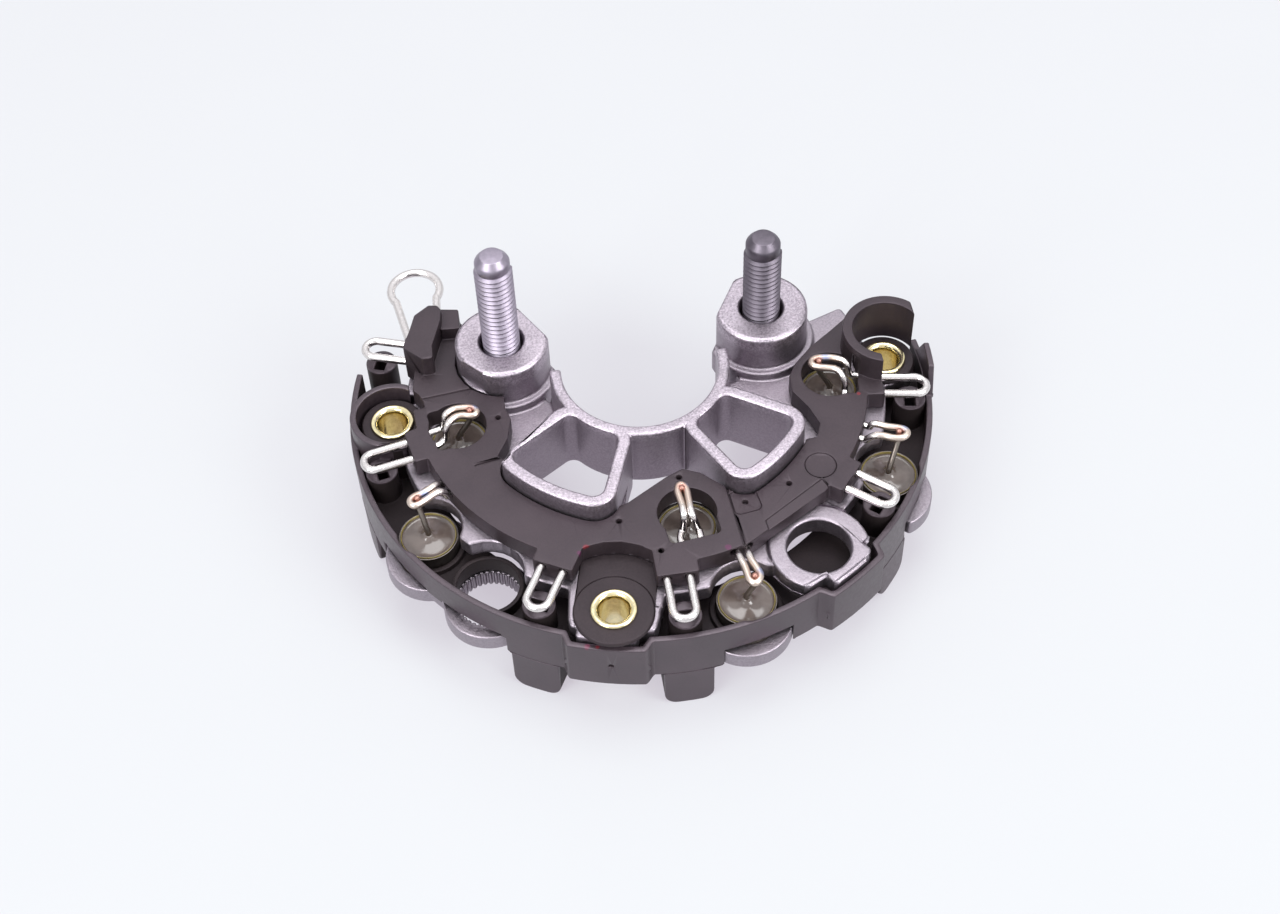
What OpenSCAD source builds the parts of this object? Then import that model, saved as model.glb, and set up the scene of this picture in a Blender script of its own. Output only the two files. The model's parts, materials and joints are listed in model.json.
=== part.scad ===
// Alternator rectifier: two stacked aluminium heat sinks with press-fit diodes, a plastic wire
// guide between them and a moulded terminal board on top. The shaft passes through the open horseshoe.
// The origin lies on the shaft axis, in the plane of the rivets' lower flanges, which is the seat on
// the alternator's bracket. +Z points to the studs and +Y to the open side of the horseshoe.

/* [Shaft opening] */
// Radius of the opening around the shaft
opening_r = 16.25; // [15:0.25:17]
// Wall between the opening and the cells
rim_wall = 2.4; // [2:0.1:3]
// Outer radius of the two raised cells
cell_outer_r = 37.5; // [36.5:0.1:38]
// Wall of a raised cell
cell_wall = 2.6; // [2:0.1:3]

/* [Levels] */
// Reach of the guide legs below the seat
leg_drop = 10.5; // [8:0.5:14]
// Thickness of the negative heat sink
negative_t = 3.9; // [3:0.1:5]
// Space between the two heat sinks
sink_gap = 5.3; // [4.6:0.1:7]
// Thickness of the positive heat sink's plate
positive_t = 4; // [3:0.1:5]
// Thickness of the terminal board
board_t = 4.5; // [4:0.1:6]
// Height of the cells above the plate
cell_rise = 9.1; // [7:0.1:11]
// Depth of the cells below the plate
cell_drop = 2; // [1:0.1:3]
// Height of the stud towers above the cells
tower_rise = 1.5; // [1:0.1:4]
// Height of the machined boss round the spare bore
boss_rise = 0.4; // [0.2:0.1:2]

/* [Heat sinks] */
// Pitch radius of the outer diodes
diode_pitch_r = 54.5; // [54:0.1:55]
// Outer radius of the positive plate
positive_r = 51.4; // [50.5:0.1:52]
// Outer radius of the negative plate
negative_r = 60.3; // [59.5:0.1:60.6]
// Inner radius of the negative plate
negative_inner_r = 46.6; // [46:0.1:47]
// Radius of the bump round each negative diode
bump_r = 9.4; // [8.5:0.1:10]
// Radius of the boss round the spare bore
boss_r = 10.1; // [9:0.1:10.4]
// Number of flutes in the spare fluted bore
flutes = 36; // [24:1:44]

/* [Stud towers] */
// Distance of each tower from the middle plane
tower_x = 27.5; // [27:0.1:28]
// Distance of the towers behind the shaft axis
tower_y = 10.4; // [10:0.1:11]
// Radius of a tower
tower_r = 9.8; // [9:0.1:10]
// Clearance bore at a tower's top
tower_bore_r = 4.6; // [4.3:0.1:5]
// Depth of the clearance bore
tower_bore_h = 9; // [6:0.5:10]
// Major radius of a stud
stud_r = 3.93; // [3.5:0.01:4]
// Depth of the relief below the studs' threads
stud_relief = 0.4; // [0.3:0.05:0.6]
// Radius of the stud's serrated neck, pressed into the tower
neck_r = 4.2; // [4.1:0.05:4.25]
// Height of the left stud above its tower
stud_left_h = 25; // [18:0.5:32]
// Height of the right stud above its tower
stud_right_h = 20.5; // [15:0.5:28]
// Radius of a stud's head
stud_head_r = 6.5; // [5.5:0.1:7]
// Thickness of a stud's head
stud_head_t = 2.6; // [2:0.1:3.2]

/* [Diodes] */
// Radius of a diode cup
cup_r = 6.4; // [6:0.05:6.5]
// Radius of the cup above its seat
cup_neck_r = 6; // [5.7:0.05:6.1]
// Wall of a diode cup
cup_wall = 0.35; // [0.25:0.05:0.5]
// Height of a diode cup
cup_h = 9.8; // [9.2:0.1:10]
// Floor of a diode cup
cup_floor = 2.2; // [1.6:0.1:3]
// Wall of the insulating sleeve
sleeve_wall = 0.35; // [0.25:0.05:0.5]
// Radius of the silicon chip
chip_r = 2.7; // [2:0.1:3]
// Thickness of the silicon chip
chip_t = 0.5; // [0.3:0.1:1]
// Radius of a diode's lead
lead_r = 0.6; // [0.5:0.05:0.62]

/* [Wire guide] */
// Outer radius of the guide's wall
guide_r = 61.2; // [60.9:0.1:62]
// Thickness of the guide's wall
guide_wall = 1.3; // [1:0.1:1.6]
// Height of the guide's wall
guide_h = 12; // [10:0.5:13]
// Thickness of the guide's floor
guide_floor = 2; // [1.5:0.1:2.4]
// Pitch radius of the guide tubes
tube_pitch_r = 56.4; // [56:0.1:56.8]
// Radius of a guide tube
tube_r = 3.3; // [3:0.1:3.5]
// Length of the slot in a guide tube
slot_l = 4.2; // [3.6:0.1:4.6]
// Width of the slot in a guide tube
slot_w = 2.2; // [1.8:0.1:2.6]
// Width of a guide leg
leg_w = 10; // [8:0.5:11]

/* [Terminal board] */
// Outer radius of the terminal board
board_r = 47.4; // [47:0.1:47.8]
// Gap between the board and the cells
board_gap = 0.3; // [0.1:0.05:0.6]
// Radius of the cup round the right rivet
shroud_r = 9.2; // [8.8:0.1:9.4]
// Wall of the cup round the right rivet
shroud_wall = 2.1; // [1.7:0.1:2.2]
// Height of that cup above the board
shroud_h = 6.1; // [3:0.1:8]
// Height of the rear post above the board
post_h = 5.1; // [3:0.1:7]

/* [Conductors] */
// Radius of the tinned wire
wire_r = 0.85; // [0.7:0.05:0.9]
// Distance between the arms of a stator hook
hook_pitch = 4.5; // [4:0.1:5]
// Distance between the arms of a diode loop
loop_pitch = 3; // [2.95:0.05:3.1]
// Height of the wires above the positive plate
wire_rise = 3.1; // [2.6:0.1:3.4]
// Height of the loops over the negative diodes above the other wires
low_loop_rise = 2.7; // [2.5:0.1:4]
// Height of the loops over the positive diodes above the other wires
high_loop_rise = 4.6; // [4:0.1:6]

/* [Rivets] */
// Radius of the hole in a rivet
rivet_bore_r = 3; // [2.5:0.1:3.1]
// Wall of a rivet
rivet_wall = 0.55; // [0.4:0.05:0.6]
// Radius of a rivet's flange
rivet_flange_r = 4.6; // [4.3:0.1:5]
// Thickness of a rivet's flange
rivet_flange_t = 0.7; // [0.5:0.1:1]
// Thickness of an insulating washer
washer_t = 0.8; // [0.5:0.1:1.2]
// Radius of the front washer
front_washer_r = 8.1; // [7.5:0.1:8.3]
// Radius of the side washers
side_washer_r = 6.6; // [6:0.1:6.7]

/* [Hidden] */
$fn = 96;

neg_z = rivet_flange_t;
neg_top = neg_z + negative_t;
pos_z = neg_top + sink_gap;
pos_top = pos_z + positive_t;
board_top = pos_top + board_t;
cell_z = pos_z - cell_drop;
cell_top = pos_top + cell_rise;
tower_top = cell_top + tower_rise;
guide_z = neg_z - 0.2;
leg_z = -leg_drop;
guide_top = guide_z + guide_h;
floor_top = neg_top + guide_floor;
wire_z = pos_top + wire_rise;
shroud_top = board_top + shroud_h;

// Clearance of the conductors' channels in the board
board_clear = 0.06;
low_z = wire_z + low_loop_rise;
high_z = wire_z + high_loop_rise;
// Bend radius of the wires where they climb
bend_r = 1.2;
pos_cup_z = pos_top - 0.5 - cup_h;
HOOK_TURN = 57.3;

// Places as [radius, angle] about the shaft axis
NEG_DIODES = [[diode_pitch_r, -150.2], [diode_pitch_r, -76.2], [diode_pitch_r, -29.8]];
POS_DIODES = [[39.2, -171.2], [35.8, -83.4], [39.6, -7.6]];
RIVETS = [[52.1, 180], [55.4, -103.8], [52.1, 0]];
SPARE_BORE = [53.6, -57.4];
// Lobes of the guide's wall round the front rivet and the spare bore: start, end and rise
FRONT_LOBE = [-111.3, -97.9, 2.2];
SPARE_LOBE = [-62, -49.6, 2.6];
// Angle over which a lobe rises
lobe_ramp = 2;
FLUTED_BORE = [diode_pitch_r, -132.3];
TUBES = [161, -168.5, -119, -89.7, -40.4, -10.6];
LEGS = [-168.5, -119, -89.7, -40.4];
OPEN_TUBES = [161, -10.6];

HOOKS = [160.5, -168.5, -118.5, -90, -40.5, -10.3];
// Where the stator hooks start inside the board, and where the board's tabs end
HOOK_IN = [45.4, 45.6, 45.6, 45.6, 45.6, 47.4];
TAB_END = 50;
bus_t = 1.4;
// Bars of each phase's bus, as [inner radius, outer radius, first angle, last angle]
BUSES = [
    [[45, 46.6, -181, -149.3], [43.6, 46.3, -181.5, -179.6], [43.3, 44.9, -195.3, -180.2],
        [43.6, 46.6, -203.5, -195]],
    [[45, 46.6, -122, -117.1], [39.2, 46.3, -118.4, -116.6], [38.9, 40.3, -117.7, -93.6],
        [39.2, 46.3, -94.7, -93], [45, 46.6, -94.1, -70.4]],
    [[45, 46.6, -44.5, -13.4], [45.3, 48.3, -14.4, -12.8], [46.9, 48.6, -14, -6.4]]
];
// Foot and lead of each loop in plan, and the length inside the board
NEG_LOOPS = [
    [[-43.05, -21.15], [-48.3, -24.5], 2.6],
    [[13.4, -46.6], [14.05, -53.7], 2.6],
    [[43.7, -20.9], [49.4, -24], 2.6]
];
POS_LOOPS = [
    [[-42.1, -7.2], [-35.8, -5.65], 3.1],
    [[4, -40.1], [3.63, -32.6], 5.3],
    [[43.2, -7.9], [36.75, -4.4], 3.6]
];
// Centre and radius of the sensing loop
SENSING = [-44.4, 34.7, 5.3];
PIN_HOLES = [[-30.3, -5.2], [-9.5, -35.6], [3.9, -26.8], [-2.4, -44], [25.3, -32], [15.9, -34.9]];

// Angles that bound the castings and the guide
LEFT_END = -197;
RIGHT_END = 14;
GUIDE_END = 6;
LEFT_CELL = [-147, -110.7];
RIGHT_CELL = [-62.6, -33.4];

// Helpers in plan and in space
function spot(p) = [p[0] * cos(p[1]), p[0] * sin(p[1])];
function arc(r, a0, a1, n = 16) = [for (i = [0:n]) let (a = a0 + (a1 - a0) * i / n) [r * cos(a), r * sin(a)]];

module polar(p) rotate([0, 0, p[1]]) translate([p[0], 0, 0]) children();

module at_spot(p, z = 0) translate([spot(p)[0], spot(p)[1], z]) children();

module band(r1, r2, a0, a1) {
    n = ceil(abs(a1 - a0) / 3);
    polygon(concat(arc(r1, a0, a1, n), arc(r2, a1, a0, n)));
}

// The same shape with true arcs
module arc_band(r1, r2, a0, a1) {
    intersection() {
        difference() {
            circle(r2);
            circle(r1);
        }
        polygon(concat([[0, 0]], arc(150, a0, a1, 12)));
    }
}

// The same shape as a turned solid
module ring(r1, r2, a0, a1, z, h) {
    rotate([0, 0, a0]) rotate_extrude(angle = a1 - a0) translate([r1, z]) square([r2 - r1, h]);
}

module soften(r) offset(r = -r, $fn = 24) offset(r = 2 * r, $fn = 24) offset(delta = -r) children();

module plate(z, h) translate([0, 0, z]) linear_extrude(height = h) children();

module hole(p, r, z, h) at_spot(p, z) cylinder(r = r, h = h);

// Positive heat sink

module tower_place(side) translate([side * tower_x, tower_y, 0]) children();

module cell_outline(span, grow) {
    offset(r = grow + 2.2, $fn = 32) offset(delta = -2.2)
        band(opening_r + rim_wall, cell_outer_r - cell_wall, span[0], span[1]);
}

// The room inside the guide's wall, open round the boss
module guide_field(gap) {
    circle(guide_r - guide_wall - gap, $fn = 120);
    for (l = [FRONT_LOBE, SPARE_LOBE]) band(40, guide_r + l[2] - guide_wall - gap, l[0] + 1, l[1] - 1);
}

module positive_outline() {
    $fn = 48;
    soften(0.9) intersection() {
        positive_field();
        guide_field(0.25);
    }
}

module positive_field() {
    difference() {
        union() {
            band(opening_r + rim_wall / 2, positive_r, LEFT_END + 14, RIGHT_END - 14);
            band(tower_x + 6, positive_r - 2, LEFT_END - 6, LEFT_END + 15);
            band(tower_x + 6, positive_r - 2, RIGHT_END - 15, RIGHT_END + 6);
            for (side = [-1, 1]) translate([side * tower_x, tower_y]) circle(tower_r + 1.6);
            translate(spot(RIVETS[0])) circle(side_washer_r - 0.1);
            translate(spot(RIVETS[2])) circle(side_washer_r - 0.1);
            hull() {
                translate(spot(RIVETS[1])) circle(front_washer_r + 0.9);
                translate(spot([44, RIVETS[1][1]])) circle(front_washer_r + 2);
            }
            translate(spot(SPARE_BORE)) circle(boss_r);
        }
        for (d = NEG_DIODES) translate(spot(d)) circle(cup_r + 0.7);
        translate(spot(FLUTED_BORE)) circle(cup_r + 1.1);
        for (a = TUBES) translate(spot([tube_pitch_r, a])) circle(tube_r + 1.5);
        circle(opening_r + 1, $fn = 96);
        // The guide's collar stands round the left rivet
        translate(spot(RIVETS[0])) difference() {
            circle(side_washer_r + 2.2);
            circle(side_washer_r + 0.3);
            translate([5.4, -20]) square(40);
        }
        // The web between the cells is open below the board's point
        band(opening_r + rim_wall, 31.2, LEFT_CELL[1] + 6.2, RIGHT_CELL[0] - 6);
    }
}

module tower_body() {
    difference() {
        union() {
            translate([0, 0, cell_z]) cylinder(r = tower_r, h = tower_top - cell_z - 0.5);
            translate([0, 0, tower_top - 0.5]) cylinder(r1 = tower_r, r2 = tower_r - 0.5, h = 0.5);
            translate([0, 0, pos_z]) cylinder(r = tower_r + 1.6, h = positive_t + 1.8);
        }
    }
}

module rim_outline() {
    band(opening_r - 1, opening_r + rim_wall, -186, 6);
}

module positive_heat_sink() {
    color("silver") difference() {
        union() {
            plate(pos_z, positive_t) positive_outline();
            plate(cell_z, cell_top - cell_z) {
                rim_outline();
                cell_outline(LEFT_CELL, cell_wall);
                cell_outline(RIGHT_CELL, cell_wall);
            }
            for (side = [-1, 1]) tower_place(side) tower_body();
            plate(pos_z + 1, positive_t + boss_rise - 1) intersection() {
                translate(spot(SPARE_BORE)) circle(boss_r);
                guide_field(0.6);
            }
        }
        plate(cell_z - 1, cell_top - cell_z + 2) {
            cell_outline(LEFT_CELL, 0);
            cell_outline(RIGHT_CELL, 0);
        }
        translate([0, 0, cell_z - 1]) cylinder(r = opening_r, h = tower_top - cell_z + 2, $fn = 180);
        // Flats of the towers
        for (side = [-1, 1]) tower_place(side) rotate([0, 0, 90 + side * 60])
            translate([8.1, -20, cell_z - 1]) cube([20, 40, tower_top - cell_z + 2]);
        tower_place(-1) rotate([0, 0, -136.5])
            translate([9.1, -20, board_top]) cube([20, 40, tower_top]);
        // Stud seats: a clearance bore above a press bore
        for (side = [-1, 1]) tower_place(side) {
            translate([0, 0, tower_top - tower_bore_h]) cylinder(r = tower_bore_r, h = tower_bore_h + 1);
            translate([0, 0, cell_z - 1]) cylinder(r = neck_r, h = tower_top - cell_z);
        }
        for (d = POS_DIODES) hole(d, cup_r, pos_z - 1, positive_t + 2);
        hole(SPARE_BORE, cup_r, pos_z - 1, positive_t + boss_rise + 2);
        for (p = RIVETS) hole(p, rivet_bore_r + rivet_wall + 1, pos_z - 1, positive_t + 2);
    }
}

// Negative heat sink

module negative_bumps(grow) {
    for (d = NEG_DIODES) translate(spot(d)) circle(bump_r + grow);
    translate(spot(FLUTED_BORE)) circle(bump_r + grow);
}

module negative_outline() {
    difference() {
        union() {
            arc_band(negative_inner_r, negative_r, LEFT_END - 1, RIGHT_END - 2);
            negative_bumps(0);
            for (i = [0, 2]) translate(spot(RIVETS[i])) circle(side_washer_r + 1);
        }
        for (a = LEGS) rotate(a) translate([guide_r - 10.6, -leg_w / 2 - 0.2]) square([20, leg_w + 0.4]);
        for (a = OPEN_TUBES) translate(spot([tube_pitch_r, a])) circle(tube_r + 0.3);
        for (d = NEG_DIODES) translate(spot(d)) circle(cup_r);
        translate(spot(FLUTED_BORE)) circle(cup_r - 0.15);
        for (p = RIVETS) translate(spot(p)) circle(rivet_bore_r + rivet_wall);
    }
}

module negative_heat_sink() {
    color("gainsboro") difference() {
        plate(neg_z, negative_t) negative_outline();
        for (i = [1:flutes]) at_spot(FLUTED_BORE, neg_z - 1) rotate([0, 0, i * 360 / flutes])
            translate([cup_r - 0.15, 0, 0]) cylinder(r = 0.26, h = negative_t + 2, $fn = 16);
    }
}

// Wire guide between the heat sinks

module guide_wall_outline(inset, spread) {
    r = guide_r - inset;
    arc_band(30, r, LEFT_END + 1 - spread, GUIDE_END + spread);
    lobe(r, FRONT_LOBE, inset);
    lobe(r, SPARE_LOBE, inset);
}

// A bulge of the wall between two S-shaped ramps: its start, its end and its rise over the wall
module lobe(r, l, inset) {
    ends = [[l[0] + inset / 2, -1], [l[1] - inset / 2, 1]];
    arc_band(50, r + l[2], ends[0][0], ends[1][0]);
    for (e = ends) polygon([
        for (k = [0:8]) spot([r - 0.05 + (l[2] + 0.05) * (1 + cos(22.5 * k)) / 2, e[0] + e[1] * lobe_ramp * k / 8]),
        spot([51, e[0] + e[1] * lobe_ramp]), spot([51.3, e[0] - e[1] * 1.4]), spot([r + l[2] - 0.7, e[0] - e[1] * 1.2])
    ]);
}

module guide_wall_body() {
    difference() {
        plate(guide_z, guide_h) difference() {
            guide_wall_outline(0, 0);
            guide_wall_outline(guide_wall, 8);
        }
        ring(30, negative_r + 0.1, LEFT_END - 8, RIGHT_END, guide_z - 1, neg_top - guide_z + 1);
    }
}

// A leg with rounded lower corners, its outer face flush with the wall
module leg(a) {
    intersection() {
        rotate([0, 0, a]) translate([guide_r, 0, 0]) rotate([90, 0, -90]) linear_extrude(height = 9.4)
            translate([-leg_w / 2, leg_z]) offset(r = 2.6, $fn = 32) offset(delta = -2.6)
                square([leg_w, neg_top + 1 - leg_z]);
        translate([0, 0, leg_z - 1]) cylinder(r = guide_r - 0.03, h = 40);
    }
}

module tube_slot(a) {
    polar([tube_pitch_r, a]) translate([0, 0, leg_z - 1]) linear_extrude(height = pos_top - leg_z + 2)
        square([slot_w, slot_l], center = true);
}

// Raised ear of the wall beside the right rivet's cup
module guide_ear() {
    intersection() {
        ring(guide_r - 1, guide_r + 0.2, -9, 3, guide_top - 1, 8);
        rotate([0, 0, -3]) translate([guide_r - 6, 0, guide_top]) rotate([90, 0, 90])
            linear_extrude(height = 12) polygon([[-7, -1], [-4, 6.5], [2.5, 6.5], [7, -1]]);
    }
}

// Collar round the left rivet. It gives way to the board's tab and to the hook on it
module left_collar() {
    difference() {
        at_spot(RIVETS[0], neg_top) cylinder(r = side_washer_r + 2, h = board_top - 0.9 - neg_top);
        hole(RIVETS[0], side_washer_r + 0.65, floor_top, 20);
        at_spot(RIVETS[0], floor_top) translate([4.2, -20, 0]) cube([20, 40, 20]);
        rotate([0, 0, HOOKS[1]]) translate([40, -4.4, pos_top - 0.1]) cube([TAB_END - 39.8, 8.8, 9]);
        rotate([0, 0, HOOKS[1]]) translate([40, -3.3, wire_z - wire_r - 0.15]) cube([20, 6.6, 9]);
    }
}

module wire_guide() {
    color([0.25, 0.22, 0.25]) difference() {
        union() {
            guide_wall_body();
            plate(neg_top, guide_floor)
                arc_band(negative_inner_r, guide_r - guide_wall / 2, LEFT_END + 1, GUIDE_END);
            for (l = [FRONT_LOBE, SPARE_LOBE]) plate(neg_top + 0.2, guide_floor - 0.4)
                arc_band(52, guide_r + l[2] - guide_wall / 2, l[0] - 1, l[1] + 1);
            guide_ear();
            for (a = LEGS) leg(a);
            for (a = TUBES) polar([tube_pitch_r, a]) translate([0, 0, neg_z])
                cylinder(r = tube_r, h = pos_top - 0.4 - neg_z);
            intersection() {
                union() {
                    for (d = NEG_DIODES) at_spot(d, neg_top) cylinder(r = cup_r + 0.9, h = guide_floor + 1.2);
                    at_spot(FLUTED_BORE, neg_top) cylinder(r = cup_r + 0.8, h = 4.9);
                }
                cylinder(r = guide_r - 0.4, h = guide_top);
            }
            // Pillars that carry the positive heat sink round the rivets
            for (i = [0, 2]) at_spot(RIVETS[i], neg_top) cylinder(r = side_washer_r - 1.4, h = sink_gap);
            at_spot(RIVETS[1], neg_top) cylinder(r = front_washer_r - 0.6, h = sink_gap);
            left_collar();
        }
        for (a = TUBES) tube_slot(a);
        hole(FLUTED_BORE, cup_r - 0.15, neg_top - 1, 5.95);
        for (d = NEG_DIODES) hole(d, cup_neck_r + 0.15, neg_top - 1, guide_h);
        for (p = RIVETS) hole(p, rivet_bore_r + rivet_wall, neg_top - 1, 12);
        // The negative plate's bumps pass through the foot of the wall
        plate(guide_z - 1, neg_top - guide_z + 2) negative_bumps(0.2);
        ring(guide_r - 3, guide_r + 4, -158, -124.5, guide_z - 1, neg_top - guide_z + 1.3);
        // Pin hole in the front lobe
        polar([guide_r, RIVETS[1][1]]) translate([0, 0, 7]) rotate([0, 90, 0]) cylinder(r = 0.5, h = 4);
    }
}

// Terminal board

// Bounds of the board's inner edge, from the rear left round the cells to the rear right
BOARD_FIELD = [
    [-80, 49.6], [-28, 17.4], [-28.6, -2.8], [-27.7, -5.9], [-28.9, -11.1], [-31.4, -15.4], [-22, -22],
    [-13, -33], [-7.1, -31.3], [1.4, -26.2], [4.9, -24.7], [8.3, -26.3], [14, -31.9], [22, -22],
    [33.2, -21.2], [34.5, -17.9], [33, -13.1], [30.6, -8.6], [30.8, -4.4], [32.7, -1.1], [36.8, 3],
    [41.8, 6.7], [48, 11.6], [80, 11.6], [80, -80], [-80, -80]
];

// The curved post and the block behind the left tower
POST = [
    [-46.3, 17.4], [-45, 21.4], [-41.8, 23.8], [-39.9, 23.5], [-39.2, 22.2], [-39.6, 19.1], [-41.9, 12.3],
    [-42, 8.7], [-44.3, 8.8], [-48.1, 12.8]
];
POST_BLOCK = [[-39.8, 24.2], [-35.6, 23.4], [-35.7, 17.9], [-39.8, 18.1]];

// An opening in the board over a positive diode, squared on its outer side
module window(d, reach) {
    translate(spot(d)) circle(cup_r - 0.5, $fn = 64);
    rotate(d[1]) translate([d[0], 0]) offset(r = 1, $fn = 24) offset(delta = -1)
        translate([-1, -5.2]) square([reach + 1, 10.4]);
}

module board_outline() {
    $fn = 64;
    soften(0.5) difference() {
        union() {
            difference() {
                intersection() {
                    circle(board_r, $fn = 120);
                    polygon(BOARD_FIELD);
                }
                translate(spot(RIVETS[1])) circle(front_washer_r + 5.5);
                // The edge runs straight past the spare bore
                rotate(SPARE_BORE[1] - 2) translate([board_r - 1.1, -14]) square([10, 28]);
            }
            for (i = [1:4]) rotate(HOOKS[i]) translate([board_r - 6, -4.2]) square([TAB_END - board_r + 6, 8.4]);
            rotate(-7.5) translate([board_r - 5, -6]) square([TAB_END - board_r + 5.6, 11]);
            translate(spot(RIVETS[2])) circle(shroud_r);
            polygon(POST);
        }
        cell_outline(LEFT_CELL, cell_wall + board_gap);
        cell_outline(RIGHT_CELL, cell_wall + board_gap);
        for (side = [-1, 1]) translate([side * tower_x, tower_y]) circle(tower_r + board_gap + 0.1);
        translate(spot(RIVETS[0])) difference() {
            circle(side_washer_r + 0.5);
            translate([2.4, -20]) square([20, 19.9]);
        }
        translate([RIVETS[2][0] + 6.6, -30]) square(60);
    }
}

module shroud() {
    intersection() {
        at_spot(RIVETS[2], pos_top) cylinder(r = shroud_r, h = shroud_top - pos_top);
        translate([30, -30, 0]) cube([RIVETS[2][0] + 6.6 - 30, 60, 60]);
    }
}

module board_relief() {
    // Seams, the strip recess, the square recess and the moulding marks
    seam([-45.6, 2.3], [-33.4, 3.6]);
    seam([-36.2, -16.9], [-26.8, -15.1]);
    seam([12.7, -29], [13.9, -46]);
    plate(board_top - 0.4, 1) polygon([[19, -40.2], [19.2, -42.9], [33, -34.3], [32, -31.9]]);
    plate(board_top - 0.35, 1) translate([15.9, -34.9]) rotate(8) offset(r = 1.2, $fn = 32) square(3.2, center = true);
    at_spot([43.2, -41.3], board_top - 0.3) cylinder(r = 3.15, h = 1);
    for (p = PIN_HOLES) translate([p[0], p[1], board_top - 1.6]) cylinder(r = 0.55, h = 3, $fn = 24);
}

module seam(a, b) {
    d = b - a;
    translate([a[0], a[1], board_top - 0.5]) rotate([0, 0, atan2(d[1], d[0])]) translate([0, -0.16, 0])
        cube([norm(d), 0.32, 2]);
}

module terminal_board() {
    color([0.25, 0.22, 0.25]) difference() {
        union() {
            plate(pos_top, board_t) board_outline();
            shroud();
            plate(pos_top, board_t + post_h) offset(r = 0.8, $fn = 32) offset(delta = -0.8) polygon(POST);
            plate(pos_top, board_t + post_h - 2) polygon(POST_BLOCK);
        }
        // Windows over the positive diodes
        plate(pos_top - 1, board_t + 2) {
            window(POS_DIODES[0], 5.3);
            window(POS_DIODES[1], 6.6);
        }
        plate(pos_top - 1, board_t + post_h) window(POS_DIODES[2], 5.6);
        // Well of the right rivet, open to the front
        hole(RIVETS[2], shroud_r - shroud_wall, pos_top - 1, 20);
        at_spot(RIVETS[2], pos_top - 1) translate([-2.6, -20, 0]) cube([20, 17.4, 20]);
        // Underside clears the boss, the feet of the towers, the washers and the rivets' flanges
        hole(SPARE_BORE, boss_r + 0.2, pos_top - 1, boss_rise + 1.2);
        hole(RIVETS[1], front_washer_r + 5.4, pos_top - 1, washer_t + 1);
        for (side = [-1, 1]) tower_place(side) translate([0, 0, pos_top - 1]) cylinder(r = tower_r + 1.8, h = 3);
        for (i = [0, 2]) hole(RIVETS[i], side_washer_r + 0.4, pos_top - 1, washer_t + rivet_flange_t + 1.3);
        for (i = [0:2]) phase_conductor(i, board_clear);
        sensing_path(board_clear);
        board_relief();
    }
}

// Conductors

// A straight piece of round wire
module strand(a, b, r) {
    d = b - a;
    l = norm(d);
    translate(a) rotate([0, acos(d[2] / l), atan2(d[1], d[0])]) cylinder(r = r, h = l);
}

// A half turn of wire between the lines y = -s and y = s, bulging along +X
module half_turn(s, r) rotate([0, 0, -90]) rotate_extrude(angle = 180) translate([s, 0]) circle(r = r);

module stator_hook(i, grow) {
    r = wire_r + grow;
    s = hook_pitch / 2;
    rotate([0, 0, HOOKS[i]]) translate([0, 0, wire_z]) {
        for (y = [-s, s]) strand([HOOK_IN[i], y, 0], [HOOK_TURN, y, 0], r);
        translate([HOOK_TURN, 0, 0]) half_turn(s, r);
    }
}

// Two quarter turns of wire and the rise between them, which climb from z to z + h along +X
module climb(z, h, r) {
    q = bend_r;
    translate([0, 0, z + q]) rotate([90, 0, 0]) rotate([0, 0, -90]) rotate_extrude(angle = 90)
        translate([q, 0]) circle(r = r);
    translate([q, 0, z + q]) cylinder(r = r, h = h - 2 * q);
    translate([2 * q, 0, z + h - q]) rotate([90, 0, 0]) rotate([0, 0, 90]) rotate_extrude(angle = 90)
        translate([q, 0]) circle(r = r);
}

// A loop that leaves the board at f, rises to the height z and closes round a diode's lead at c
module diode_loop(f, c, inset, z, grow) {
    d = c - f;
    l = norm(d);
    s = loop_pitch / 2;
    r = wire_r + grow;
    h = z - wire_z;
    translate([f[0], f[1], 0]) rotate([0, 0, atan2(d[1], d[0])]) {
        for (y = [-s, s]) {
            strand([-inset, y, wire_z], [0, y, wire_z], r);
            translate([0, y, 0]) climb(wire_z, h, r);
            strand([2 * bend_r, y, z], [l, y, z], r);
        }
        translate([l, 0, z]) half_turn(s, r);
    }
}

module bus(bars, grow) {
    t = bus_t / 2 + grow;
    plate(wire_z - t, 2 * t) for (b = bars) band(b[0] - grow, b[1] + grow, b[2] - grow, b[3] + grow);
}

module phase_conductor(i, grow) {
    stator_hook(2 * i, grow);
    stator_hook(2 * i + 1, grow);
    diode_loop(NEG_LOOPS[i][0], NEG_LOOPS[i][1], NEG_LOOPS[i][2], low_z, grow);
    diode_loop(POS_LOOPS[i][0], POS_LOOPS[i][1], POS_LOOPS[i][2], high_z, grow);
    bus(BUSES[i], grow);
}

module left_phase_conductor() color("lightgrey") phase_conductor(0, 0);
module centre_phase_conductor() color("lightgrey") phase_conductor(1, 0);
module right_phase_conductor() color("lightgrey") phase_conductor(2, 0);

// The sensing loop: most of a circle with two legs that enter the board's post
module sensing_path(grow) {
    r = wire_r + 0.05 + grow;
    c = SENSING;
    translate([c[0], c[1], wire_z]) rotate([0, 0, -35])
        rotate_extrude(angle = 250) translate([c[2], 0]) circle(r = r);
    for (side = [-1, 1]) translate([0, 0, wire_z])
        strand([c[0] + side * c[2] * cos(35), c[1] - c[2] * sin(35), 0], [c[0] + 0.6 + side * 3.1, 20.6, 0], r);
}

module sensing_loop() color("lightgrey") sensing_path(0);

// Studs

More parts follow.
